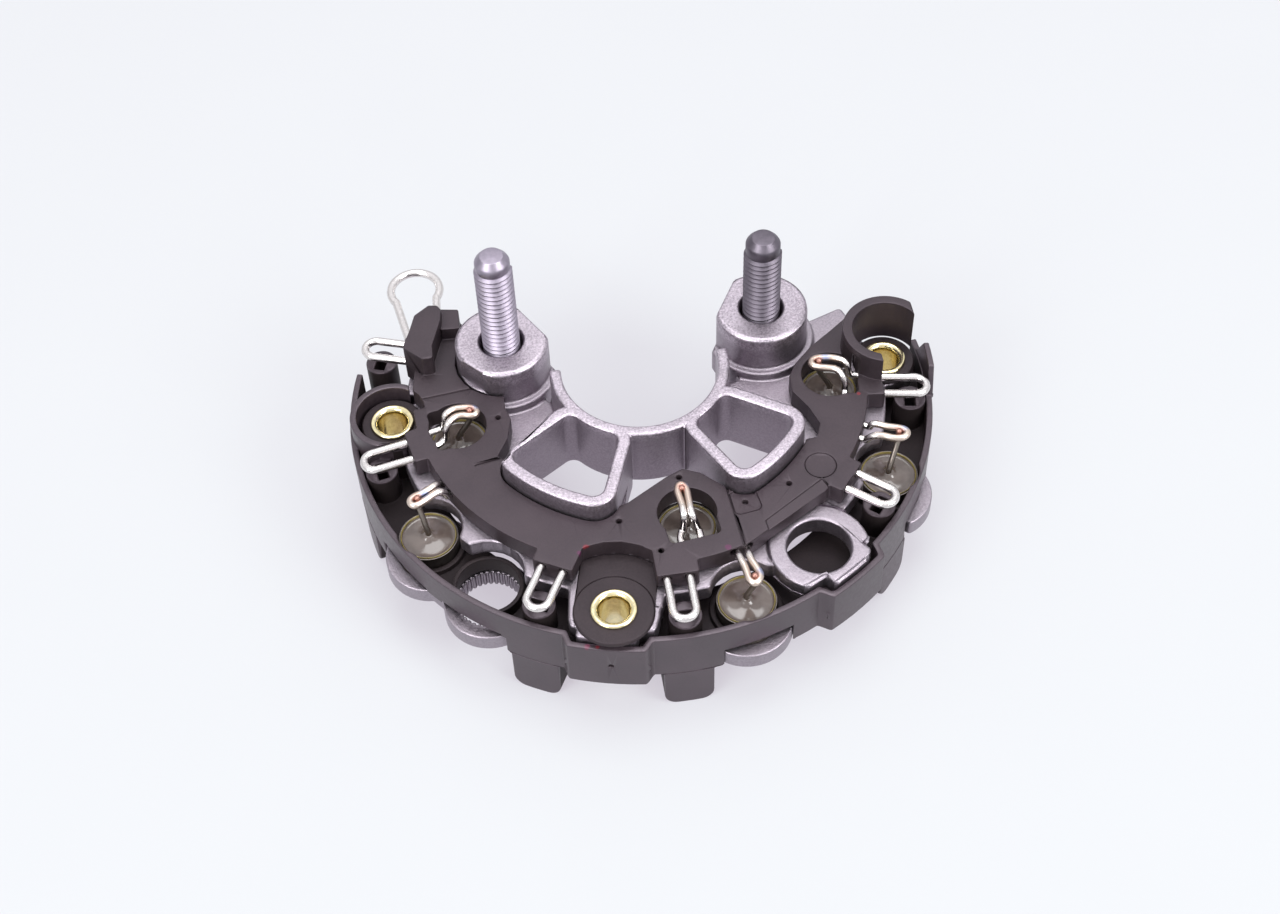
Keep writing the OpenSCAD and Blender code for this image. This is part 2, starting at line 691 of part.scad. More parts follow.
module stud(side, h) {
    tower_place(side) {
        translate([0, 0, cell_z]) cylinder(r = neck_r, h = tower_top - tower_bore_h - cell_z);
        translate([0, 0, cell_z - stud_head_t]) cylinder(r = stud_head_r, h = stud_head_t);
        translate([0, 0, cell_z]) cylinder(r = stud_r - stud_relief, h = tower_top + 1 - cell_z);
        translate([0, 0, tower_top + 0.3]) cylinder(r = stud_r, h = h - 3.5);
        translate([0, 0, tower_top + h - 3.2]) cylinder(r = stud_r - 0.35, h = 1.5);
        translate([0, 0, tower_top + h - 1.7]) cylinder(r1 = stud_r - 0.35, r2 = 2.3, h = 1.7);
    }
}

module left_stud() color([0.8, 0.8, 0.86]) stud(-1, stud_left_h);
module right_stud() color([0.55, 0.55, 0.6]) stud(1, stud_right_h);

// Hollow rivets and their insulating washers

module rivet(p) {
    top = pos_top + washer_t;
    od = rivet_bore_r + rivet_wall;
    at_spot(p) rotate_extrude() polygon([
        [rivet_bore_r, 0.5], [rivet_bore_r + 0.5, 0], [rivet_flange_r, 0], [rivet_flange_r, rivet_flange_t],
        [od, rivet_flange_t], [od, top], [rivet_flange_r - 0.15, top], [rivet_flange_r, top + 0.2],
        [rivet_flange_r - 0.35, top + rivet_flange_t], [rivet_bore_r + 0.75, top + rivet_flange_t],
        [rivet_bore_r + 0.2, top + rivet_flange_t - 0.35], [rivet_bore_r, top + rivet_flange_t - 0.9]
    ]);
}

module left_rivet() color([0.85, 0.75, 0.35]) rivet(RIVETS[0]);
module centre_rivet() color([0.85, 0.75, 0.35]) rivet(RIVETS[1]);
module right_rivet() color([0.85, 0.75, 0.35]) rivet(RIVETS[2]);

// A washer with a collar that lines the positive heat sink's hole
module insulator(p, r) {
    difference() {
        union() {
            at_spot(p, pos_top) cylinder(r1 = r, r2 = r - 0.3, h = washer_t);
            at_spot(p, pos_z) cylinder(r = rivet_bore_r + rivet_wall + 1, h = positive_t);
        }
        hole(p, rivet_bore_r + rivet_wall, pos_z - 1, 10);
    }
}

module left_washer() color([0.2, 0.18, 0.2]) insulator(RIVETS[0], side_washer_r);

// The front washer has an apron that fills the board's cut behind it
module centre_washer() {
    color([0.2, 0.18, 0.2]) {
        insulator(RIVETS[1], front_washer_r);
        difference() {
            plate(pos_top, washer_t - 0.25) intersection() {
                translate(spot(RIVETS[1])) circle(front_washer_r + 5.3);
                hull() for (r = [44, RIVETS[1][0]]) translate(spot([r, RIVETS[1][1]])) circle(front_washer_r - 0.3);
            }
            hole(RIVETS[1], rivet_bore_r + rivet_wall + 2, pos_top - 1, 10);
        }
    }
}
module right_washer() color([0.2, 0.18, 0.2]) insulator(RIVETS[2], side_washer_r);

// Press-fit diodes. Each has a cup, a chip on the cup's floor, a lead with a foot, a sleeve and potting

module cup(d, z, seat_z, seat_h) {
    color([0.6, 0.55, 0.5]) difference() {
        union() {
            at_spot(d, z) cylinder(r = cup_neck_r, h = cup_h);
            at_spot(d, seat_z) cylinder(r = cup_r, h = seat_h);
        }
        hole(d, cup_neck_r - cup_wall, z + cup_floor, cup_h);
    }
}

module chip(d, z) {
    color("dimgrey") at_spot(d, z + cup_floor) cylinder(r = chip_r, h = chip_t, $fn = 48);
}

module sleeve(d, z) {
    color([0.75, 0.65, 0.2]) difference() {
        at_spot(d, z + cup_h - 3) cylinder(r = cup_neck_r - cup_wall, h = 3.25);
        hole(d, cup_neck_r - cup_wall - sleeve_wall, z + cup_h - 4, 6);
    }
}

// The lead stands on the chip and leans over to its loop
module lead(d, z, c, loop_height) {
    a = spot(d);
    foot = z + cup_floor + chip_t;
    color("silver") {
        at_spot(d, foot) cylinder(r1 = chip_r - 0.4, r2 = lead_r + 0.3, h = 1.2);
        at_spot(d, foot + 0.8) cylinder(r = lead_r + 0.12, h = z + cup_h + 0.9 - foot - 0.8);
        strand([a[0], a[1], z + cup_h + 0.5], [c[0], c[1], loop_height - 1.2], lead_r - 0.05);
        translate([c[0], c[1], loop_height - 1.6]) cylinder(r = lead_r, h = 3);
    }
}

module potting(d, z, c, loop_height) {
    ri = cup_neck_r - cup_wall;
    color([0.35, 0.32, 0.22]) difference() {
        at_spot(d, z) rotate_extrude() polygon([
            [0, cup_floor], [ri, cup_floor], [ri, cup_h - 3], [ri - sleeve_wall, cup_h - 3],
            [ri - sleeve_wall, cup_h - 0.5], [4, cup_h - 0.25], [2.2, cup_h + 0.1], [1.2, cup_h + 0.5],
            [0.8, cup_h + 0.75], [0, cup_h + 0.75]
        ]);
        chip(d, z);
        lead(d, z, c, loop_height);
    }
}

module negative_cup_left() cup(NEG_DIODES[0], neg_z, neg_z, negative_t);
module negative_cup_centre() cup(NEG_DIODES[1], neg_z, neg_z, negative_t);
module negative_cup_right() cup(NEG_DIODES[2], neg_z, neg_z, negative_t);
module negative_chip_left() chip(NEG_DIODES[0], neg_z);
module negative_chip_centre() chip(NEG_DIODES[1], neg_z);
module negative_chip_right() chip(NEG_DIODES[2], neg_z);
module negative_lead_left() lead(NEG_DIODES[0], neg_z, NEG_LOOPS[0][1], low_z);
module negative_lead_centre() lead(NEG_DIODES[1], neg_z, NEG_LOOPS[1][1], low_z);
module negative_lead_right() lead(NEG_DIODES[2], neg_z, NEG_LOOPS[2][1], low_z);
module negative_sleeve_left() sleeve(NEG_DIODES[0], neg_z);
module negative_sleeve_centre() sleeve(NEG_DIODES[1], neg_z);
module negative_sleeve_right() sleeve(NEG_DIODES[2], neg_z);
module negative_potting_left() potting(NEG_DIODES[0], neg_z, NEG_LOOPS[0][1], low_z);
module negative_potting_centre() potting(NEG_DIODES[1], neg_z, NEG_LOOPS[1][1], low_z);
module negative_potting_right() potting(NEG_DIODES[2], neg_z, NEG_LOOPS[2][1], low_z);
module positive_cup_left() cup(POS_DIODES[0], pos_cup_z, pos_z, positive_t - 0.5);
module positive_cup_centre() cup(POS_DIODES[1], pos_cup_z, pos_z, positive_t - 0.5);
module positive_cup_right() cup(POS_DIODES[2], pos_cup_z, pos_z, positive_t - 0.5);
module positive_chip_left() chip(POS_DIODES[0], pos_cup_z);
module positive_chip_centre() chip(POS_DIODES[1], pos_cup_z);
module positive_chip_right() chip(POS_DIODES[2], pos_cup_z);
module positive_lead_left() lead(POS_DIODES[0], pos_cup_z, POS_LOOPS[0][1], high_z);
module positive_lead_centre() lead(POS_DIODES[1], pos_cup_z, POS_LOOPS[1][1], high_z);
module positive_lead_right() lead(POS_DIODES[2], pos_cup_z, POS_LOOPS[2][1], high_z);
module positive_sleeve_left() sleeve(POS_DIODES[0], pos_cup_z);
module positive_sleeve_centre() sleeve(POS_DIODES[1], pos_cup_z);
module positive_sleeve_right() sleeve(POS_DIODES[2], pos_cup_z);
module positive_potting_left() potting(POS_DIODES[0], pos_cup_z, POS_LOOPS[0][1], high_z);
module positive_potting_centre() potting(POS_DIODES[1], pos_cup_z, POS_LOOPS[1][1], high_z);
module positive_potting_right() potting(POS_DIODES[2], pos_cup_z, POS_LOOPS[2][1], high_z);

positive_heat_sink();
negative_heat_sink();
wire_guide();
terminal_board();
left_phase_conductor();
centre_phase_conductor();
right_phase_conductor();
sensing_loop();
left_stud();
right_stud();
left_rivet();
centre_rivet();
right_rivet();
left_washer();
centre_washer();
right_washer();
negative_cup_left();
negative_cup_centre();
negative_cup_right();
negative_chip_left();
negative_chip_centre();
negative_chip_right();
negative_lead_left();
negative_lead_centre();
negative_lead_right();
negative_sleeve_left();
negative_sleeve_centre();
negative_sleeve_right();
negative_potting_left();
negative_potting_centre();
negative_potting_right();
positive_cup_left();
positive_cup_centre();
positive_cup_right();
positive_chip_left();
positive_chip_centre();
positive_chip_right();
positive_lead_left();
positive_lead_centre();
positive_lead_right();
positive_sleeve_left();
positive_sleeve_centre();
positive_sleeve_right();
positive_potting_left();
positive_potting_centre();
positive_potting_right();
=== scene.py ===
"""Alternator rectifier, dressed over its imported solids. Sizes are millimetres unless stated otherwise."""

import json
import logging
import math
from dataclasses import dataclass
from enum import Enum
from typing import Any, Optional, Sequence

import bpy
from mathutils import Matrix, Vector
from mathutils.bvhtree import BVHTree

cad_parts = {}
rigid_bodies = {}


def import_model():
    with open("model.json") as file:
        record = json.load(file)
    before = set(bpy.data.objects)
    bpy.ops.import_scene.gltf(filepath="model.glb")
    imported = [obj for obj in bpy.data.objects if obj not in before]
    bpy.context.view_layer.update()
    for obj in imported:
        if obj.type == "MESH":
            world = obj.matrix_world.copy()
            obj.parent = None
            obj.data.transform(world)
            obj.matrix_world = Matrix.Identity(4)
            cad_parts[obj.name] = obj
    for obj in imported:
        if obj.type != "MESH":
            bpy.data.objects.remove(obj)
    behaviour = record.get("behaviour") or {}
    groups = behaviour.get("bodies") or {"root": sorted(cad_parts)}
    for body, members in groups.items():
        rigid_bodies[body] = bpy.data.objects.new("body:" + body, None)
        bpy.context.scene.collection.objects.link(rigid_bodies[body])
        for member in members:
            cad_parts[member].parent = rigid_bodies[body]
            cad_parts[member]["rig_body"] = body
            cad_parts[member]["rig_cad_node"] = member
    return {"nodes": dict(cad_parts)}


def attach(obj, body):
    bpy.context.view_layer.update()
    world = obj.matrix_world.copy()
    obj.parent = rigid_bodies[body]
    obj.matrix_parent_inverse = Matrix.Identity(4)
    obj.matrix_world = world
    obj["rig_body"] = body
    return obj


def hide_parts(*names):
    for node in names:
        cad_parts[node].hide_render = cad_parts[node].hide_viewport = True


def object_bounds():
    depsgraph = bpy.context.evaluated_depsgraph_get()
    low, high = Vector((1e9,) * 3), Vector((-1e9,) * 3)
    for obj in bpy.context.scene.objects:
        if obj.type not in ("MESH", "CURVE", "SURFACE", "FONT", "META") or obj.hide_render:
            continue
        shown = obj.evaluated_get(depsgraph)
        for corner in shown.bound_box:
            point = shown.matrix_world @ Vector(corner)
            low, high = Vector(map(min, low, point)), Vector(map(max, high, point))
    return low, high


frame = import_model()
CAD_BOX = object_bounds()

LOG = logging.getLogger("rectifier")
MM = 0.001
Point = tuple[float, float, float]
Plan = tuple[float, float]
Tint = tuple[Point, float, float, Point]


class Side(Enum):
    """Where a diode, a rivet or a phase's wires stand."""

    LEFT = "left"
    CENTRE = "centre"
    RIGHT = "right"


class Sink(Enum):
    """The two heat sinks."""

    NEGATIVE = "negative"
    POSITIVE = "positive"


class Level:
    """Heights over the seat."""

    NEGATIVE_CUP = 0.7
    POSITIVE_CUP = 3.6
    STUD_NECK = 7.9
    RIVET_TOP = 15.4
    WIRE = 17.0
    TOWER_TOP = 24.5


def spot(radius: float, angle: float) -> Plan:
    """The plan point at a radius and an angle in degrees about the shaft."""
    turn = math.radians(angle)
    return radius * math.cos(turn), radius * math.sin(turn)


RIVETS = {Side.LEFT: spot(52.1, 180), Side.CENTRE: spot(55.4, -103.8), Side.RIGHT: spot(52.1, 0)}
DIODES = {
    Sink.NEGATIVE: {
        Side.LEFT: spot(54.5, -150.2),
        Side.CENTRE: spot(54.5, -76.2),
        Side.RIGHT: spot(54.5, -29.8),
    },
    Sink.POSITIVE: {
        Side.LEFT: spot(39.2, -171.2),
        Side.CENTRE: spot(35.8, -83.4),
        Side.RIGHT: spot(39.6, -7.6),
    },
}
CUP_FOOT = {Sink.NEGATIVE: Level.NEGATIVE_CUP, Sink.POSITIVE: Level.POSITIVE_CUP}

# Dabs of marking paint: place, reach and colour

RED, PINK, PURPLE = (0.16, 0.012, 0.018), (0.12, 0.014, 0.04), (0.07, 0.010, 0.045)
BOARD_DABS = (
    ((-16.6, -41.0, 18.4), 1.5, RED),
    ((-18.3, -41.9, 18.0), 1.2, PURPLE),
    ((10.6, -45.4, 18.3), 1.3, PURPLE),
    ((-45.2, -21.6, 18.2), 0.9, PINK),
    ((44.0, -11.5, 18.3), 0.8, RED),
)
GUIDE_DABS = (((-19.3, -59.8, 12.3), 1.1, PINK), ((-17.4, -60.3, 12.4), 0.8, RED))


# Shader values


@dataclass
class Value:
    """A socket that can be written in sums and products."""

    graph: "Graph"
    socket: Any

    def _math(self, operation: str, first: Any, second: Any) -> "Value":
        """Adds one Math node."""
        return self.graph.node("ShaderNodeMath", {"operation": operation}, {0: first, 1: second})

    def __add__(self, other: Any) -> "Value":
        """self + other."""
        return self._math("ADD", self, other)

    __radd__ = __add__

    def __sub__(self, other: Any) -> "Value":
        """self - other."""
        return self._math("SUBTRACT", self, other)

    def __rsub__(self, other: Any) -> "Value":
        """other - self."""
        return self._math("SUBTRACT", other, self)

    def __mul__(self, other: Any) -> "Value":
        """self * other."""
        return self._math("MULTIPLY", self, other)

    __rmul__ = __mul__

    def most(self, other: Any) -> "Value":
        """The larger of the two."""
        return self._math("MAXIMUM", self, other)

    def clamp(self) -> "Value":
        """self, held between 0 and 1."""
        return self.graph.node("ShaderNodeClamp", {}, {0: self})

    def smooth(self, low: float, high: float, floor: float = 0.0, top: float = 1.0) -> "Value":
        """A smooth step.

        Args:
            low: where the step starts.
            high: where it ends.
            floor: the result below low.
            top: the result above high.

        Returns:
            The step's value.
        """
        inputs = {"Value": self, "From Min": low, "From Max": high, "To Min": floor, "To Max": top}
        return self.graph.node("ShaderNodeMapRange", {"interpolation_type": "SMOOTHSTEP"}, inputs)


class Graph:
    """One tree of shader nodes."""

    def __init__(self, tree: bpy.types.NodeTree) -> None:
        """Empties the tree.

        Args:
            tree: a material's or a world's nodes.
        """
        self.tree = tree
        self.tree.nodes.clear()
        self._coords: Optional[Value] = None

    def node(self, kind: str, settings: dict, inputs: dict, out: Any = 0) -> Value:
        """Adds a node.

        Args:
            kind: the node's type.
            settings: attributes to set first.
            inputs: socket name or number to a Value or a constant.
            out: the output socket wanted.

        Returns:
            The output as a Value.
        """
        made = self.tree.nodes.new(kind)
        for key, value in settings.items():
            setattr(made, key, value)
        for key, value in inputs.items():
            if isinstance(value, Value):
                self.tree.links.new(value.socket, made.inputs[key])
            else:
                made.inputs[key].default_value = value
        return Value(self, made.outputs[out] if len(made.outputs) else None)

    def place(self) -> Value:
        """Where the shaded point is.

        Returns:
            The point in object coordinates, in metres.
        """
        if self._coords is None:
            self._coords = self.node("ShaderNodeTexCoord", {}, {}, "Object")
        return self._coords

    def height(self) -> Value:
        """The point's height over the seat, in millimetres."""
        return self.node("ShaderNodeSeparateXYZ", {}, {0: self.place()}, "Z") * (1.0 / MM)

    def noise(self, size: float, detail: float = 2.0, rough: float = 0.5, offset: float = 0.0) -> Value:
        """Cloudy noise.

        Args:
            size: about how wide its features are.
            detail: how many octaves it has.
            rough: how strong the fine octaves are.
            offset: a shift, in metres, that makes it differ from others.

        Returns:
            Its value, about 0.5 in the middle.
        """
        at = self.place()
        if offset:
            shift = (offset, offset, offset)
            at = self.node("ShaderNodeVectorMath", {"operation": "ADD"}, {0: at, 1: shift})
        inputs = {"Vector": at, "Scale": 1.0 / (size * MM), "Detail": detail, "Roughness": rough}
        return self.node("ShaderNodeTexNoise", {}, inputs)

    def near(self, point: Point, inner: float, outer: float) -> Value:
        """A soft ball round a point.

        Args:
            point: its middle.
            inner: the reach of its full strength.
            outer: where it ends.

        Returns:
            1 in the middle and 0 outside.
        """
        at = tuple(v * MM for v in point)
        far = self.node("ShaderNodeVectorMath", {"operation": "DISTANCE"}, {0: self.place(), 1: at}, "Value")
        return 1.0 - far.smooth(inner * MM, outer * MM)

    def mix(self, amount: Any, first: Any, second: Any) -> Value:
        """A colour between first and second."""
        inputs = {0: amount, 6: rgba(first), 7: rgba(second)}
        return self.node("ShaderNodeMix", {"data_type": "RGBA"}, inputs, 2)

    def bump(self, height: Value, strength: float, depth: float) -> Value:
        """A bumped normal, depth millimetres deep."""
        return self.node("ShaderNodeBump", {}, {"Strength": strength, "Distance": depth * MM, "Height": height})


class Surface(Graph):
    """A material's nodes round one Principled shader."""

    def __init__(self, name: str) -> None:
        """Starts a material.

        Args:
            name: the material's name.
        """
        self.material = bpy.data.materials.new(name)
        self.material.use_nodes = True
        super().__init__(self.material.node_tree)
        self.shader = self.tree.nodes.new("ShaderNodeBsdfPrincipled")
        output = self.tree.nodes.new("ShaderNodeOutputMaterial")
        self.tree.links.new(self.shader.outputs[0], output.inputs[0])

    def set(self, **sockets: Any) -> bpy.types.Material:
        """Sets the shader's sockets.

        Args:
            sockets: each socket's name, with _ for a space, and its Value or constant.

        Returns:
            The material.
        """
        for key, value in sockets.items():
            socket = self.shader.inputs[key.replace("_", " ")]
            if isinstance(value, Value):
                self.tree.links.new(value.socket, socket)
            else:
                socket.default_value = rgba(value)
        return self.material


def rgba(value: Any) -> Any:
    """A colour of three numbers gets its alpha; anything else stays."""
    return (*value, 1.0) if isinstance(value, tuple) and len(value) == 3 else value


def dimmed(colour: Point, share: float) -> Point:
    """A colour at a share of its strength."""
    return tuple(v * share for v in colour)


# Finishes


@dataclass(frozen=True)
class CastAluminium:
    """Blasted die casting: granular satin metal, with painted shade that darkens it below the lip."""

    name: str = "cast_aluminium"
    colour: Point = (0.57, 0.505, 0.57)
    pit: float = 0.55
    # share of the colour left where shade is painted below the lip
    painted_shade_share: float = 0.50
    grain: float = 0.50
    depth: float = 0.10
    rough: float = 0.42
    lip: Plan = (20.3, 22.6)

    def make(self) -> bpy.types.Material:
        """Mixes three sizes of grain, and paints shade that darkens what lies below the lip.

        Returns:
            The material.
        """
        g = Surface(self.name)
        grain = g.noise(self.grain, 3.0, 0.6)
        fine = g.noise(self.grain * 0.45, 2.0, 0.5, 0.3)
        cloud = g.noise(6.0, 3.0, 0.55, 0.7)
        speckle = (grain * 0.6 + fine * 0.3 + cloud * 0.25).smooth(0.45, 0.70)
        colour = g.mix(speckle, dimmed(self.colour, self.pit), self.colour)
        # Painted shade: below the lip the colour darkens, clouded by noise.
        painted_shade_mask = (1.0 - g.height().smooth(*self.lip)) * (0.62 + cloud * 0.5)
        colour = g.mix(painted_shade_mask.clamp() * 0.75, colour, dimmed(self.colour, self.painted_shade_share))
        return g.set(
            Base_Color=colour,
            Metallic=1.0,
            Roughness=(self.rough + (grain - 0.5) * 0.25 + (cloud - 0.5) * 0.1).clamp(),
            Normal=g.bump(grain * 0.7 + fine * 0.4, 0.8, self.depth),
        )


@dataclass(frozen=True)
class GrainedPlastic:
    """Black moulded plastic with a fine spark grain, and dabs of paint."""

    name: str = "black_plastic"
    colour: Point = (0.018, 0.013, 0.015)
    grain: float = 0.5
    depth: float = 0.035
    rough: float = 0.46
    sheen: float = 0.52
    glint: Point = (1.0, 0.87, 0.98)
    dabs: tuple[tuple[Point, float, Point], ...] = ()

    def make(self) -> bpy.types.Material:
        """Grains the plastic and smears the dabs over it.

        Returns:
            The material.
        """
        g = Surface(self.name)
        grain = g.noise(self.grain, 3.0, 0.6)
        fine = g.noise(self.grain * 0.4, 2.0, 0.5, 0.2)
        cloud = g.noise(9.0, 3.0, 0.5, 0.4)
        speckle = (cloud * 0.4 + grain * 0.4 + fine * 0.2).smooth(0.38, 0.66)
        colour = g.mix(speckle, self.colour, dimmed(self.colour, 1.7))
        smear = g.noise(0.9, 2.0, 0.6, 0.9)
        for point, size, paint in self.dabs:
            mask = (g.near(point, size * 0.1, size) * 1.6 - smear * 1.1).smooth(0.1, 0.7) * 0.8
            colour = g.mix(mask, colour, paint)
        return g.set(
            Base_Color=colour,
            Roughness=(self.rough + (grain - 0.5) * 0.3 + (cloud - 0.5) * 0.1).clamp(),
            Specular_IOR_Level=self.sheen,
            Specular_Tint=self.glint,
            Normal=g.bump(grain * 0.7 + fine * 0.3, 0.7, self.depth),
        )


@dataclass(frozen=True)
class PlatedWire:
    """Tinned wire, with heat colours near welds."""

    name: str = "tinned_wire"
    colour: Point = (0.83, 0.79, 0.775)
    rough: float = 0.2
    heat: tuple[Tint, ...] = ()

    def make(self) -> bpy.types.Material:
        """Dents the plating lightly and tints it where it was hot.

        Returns:
            The material.
        """
        g = Surface(self.name)
        dents = g.noise(1.6, 2.0, 0.5)
        fine = g.noise(0.4, 2.0, 0.5, 0.2)
        colour = g.mix(fine.smooth(0.35, 0.75), dimmed(self.colour, 0.86), self.colour)
        rough = self.rough + (fine - 0.5) * 0.18
        for point, inner, outer, tint in self.heat:
            mask = (g.near(point, inner, outer) * 1.25 - dents * 0.35).clamp()
            colour = g.mix(mask, colour, tint)
            rough = rough + mask * 0.12
        return g.set(
            Base_Color=colour,
            Metallic=1.0,
            Roughness=rough.clamp(),
            Normal=g.bump(dents * 0.8 + fine * 0.2, 0.3, 0.05),
        )


@dataclass(frozen=True)
class PlainMetal:
    """Plated or turned metal with a light haze."""

    name: str
    colour: Point
    rough: float = 0.25
    haze: float = 1.5
    depth: float = 0.01

    def make(self) -> bpy.types.Material:
        """Clouds the metal's colour and roughness.

        Returns:
            The material.
        """
        g = Surface(self.name)
        cloud = g.noise(self.haze, 3.0, 0.6)
        fine = g.noise(0.25, 2.0, 0.5, 0.6)
        return g.set(
            Base_Color=g.mix(cloud.smooth(0.3, 0.75), dimmed(self.colour, 0.8), self.colour),
            Metallic=1.0,
            Roughness=(self.rough + (cloud - 0.5) * 0.2).clamp(),
            Normal=g.bump(fine, 0.4, self.depth),
        )


@dataclass(frozen=True)
class Resin:
    """Glossy grey-brown potting, slightly cloudy."""

    name: str = "potting"
    colour: Point = (0.080, 0.060, 0.052)
    pale: Point = (0.118, 0.094, 0.084)
    rough: float = 0.16
    gloss: float = 0.6

    def make(self) -> bpy.types.Material:
        """Clouds the resin under its gloss.

        Returns:
            The material.
        """
        g = Surface(self.name)
        cloud = g.noise(3.2, 2.0, 0.5)
        dust = g.noise(0.3, 2.0, 0.5, 0.5)
        return g.set(
            Base_Color=g.mix(cloud.smooth(0.35, 0.7), self.colour, self.pale),
            Roughness=self.rough,
            Coat_Weight=self.gloss,
            Coat_Roughness=0.08,
            Normal=g.bump(dust * 0.3 + cloud * 0.7, 0.2, 0.05),
        )


@dataclass(frozen=True)
class TintedPlastic:
    """Smooth moulded plastic of one tint."""

    name: str
    colour: Point
    rough: float = 0.3

    def make(self) -> bpy.types.Material:
        """Clouds the tint lightly.

        Returns:
            The material.
        """
        g = Surface(self.name)
        cloud = g.noise(2.0, 2.0, 0.5)
        colour = g.mix(cloud.smooth(0.3, 0.7), dimmed(self.colour, 0.75), self.colour)
        return g.set(Base_Color=colour, Roughness=self.rough, Normal=g.bump(cloud, 0.2, 0.03))


# A darker, duller copy of the black plastic, which paints shade on the guide's inner floor.
PAINTED_SHADE_PLASTIC = GrainedPlastic("painted_shade_plastic", (0.012, 0.009, 0.009), rough=0.55, sheen=0.22)
GUIDE_PLASTIC = GrainedPlastic("guide_plastic", (0.022, 0.016, 0.019), 0.9, 0.012, 0.38, 0.8, dabs=GUIDE_DABS)
BOARD_PLASTIC = GrainedPlastic(dabs=BOARD_DABS)
WASHER_PLASTIC = GrainedPlastic("washer_plastic", (0.016, 0.012, 0.013), sheen=0.3)
YELLOW_BRASS = PlainMetal("yellow_brass", (0.93, 0.82, 0.50), 0.16)
ZINC_PLATE = PlainMetal("zinc_plate", (0.37, 0.33, 0.40), 0.42)
DARK_ZINC = PlainMetal("dark_zinc", (0.17, 0.15, 0.18), 0.44)
CUP_METAL = PlainMetal("cup_metal", (0.16, 0.14, 0.13), 0.42)
SILICON = PlainMetal("silicon", (0.25, 0.25, 0.28), 0.2)
SLEEVE_PLASTIC = TintedPlastic("sleeve_plastic", (0.21, 0.165, 0.045))
LEAD_COLOUR, LEAD_ROUGH = (0.30, 0.26, 0.23), 0.34


# The bench


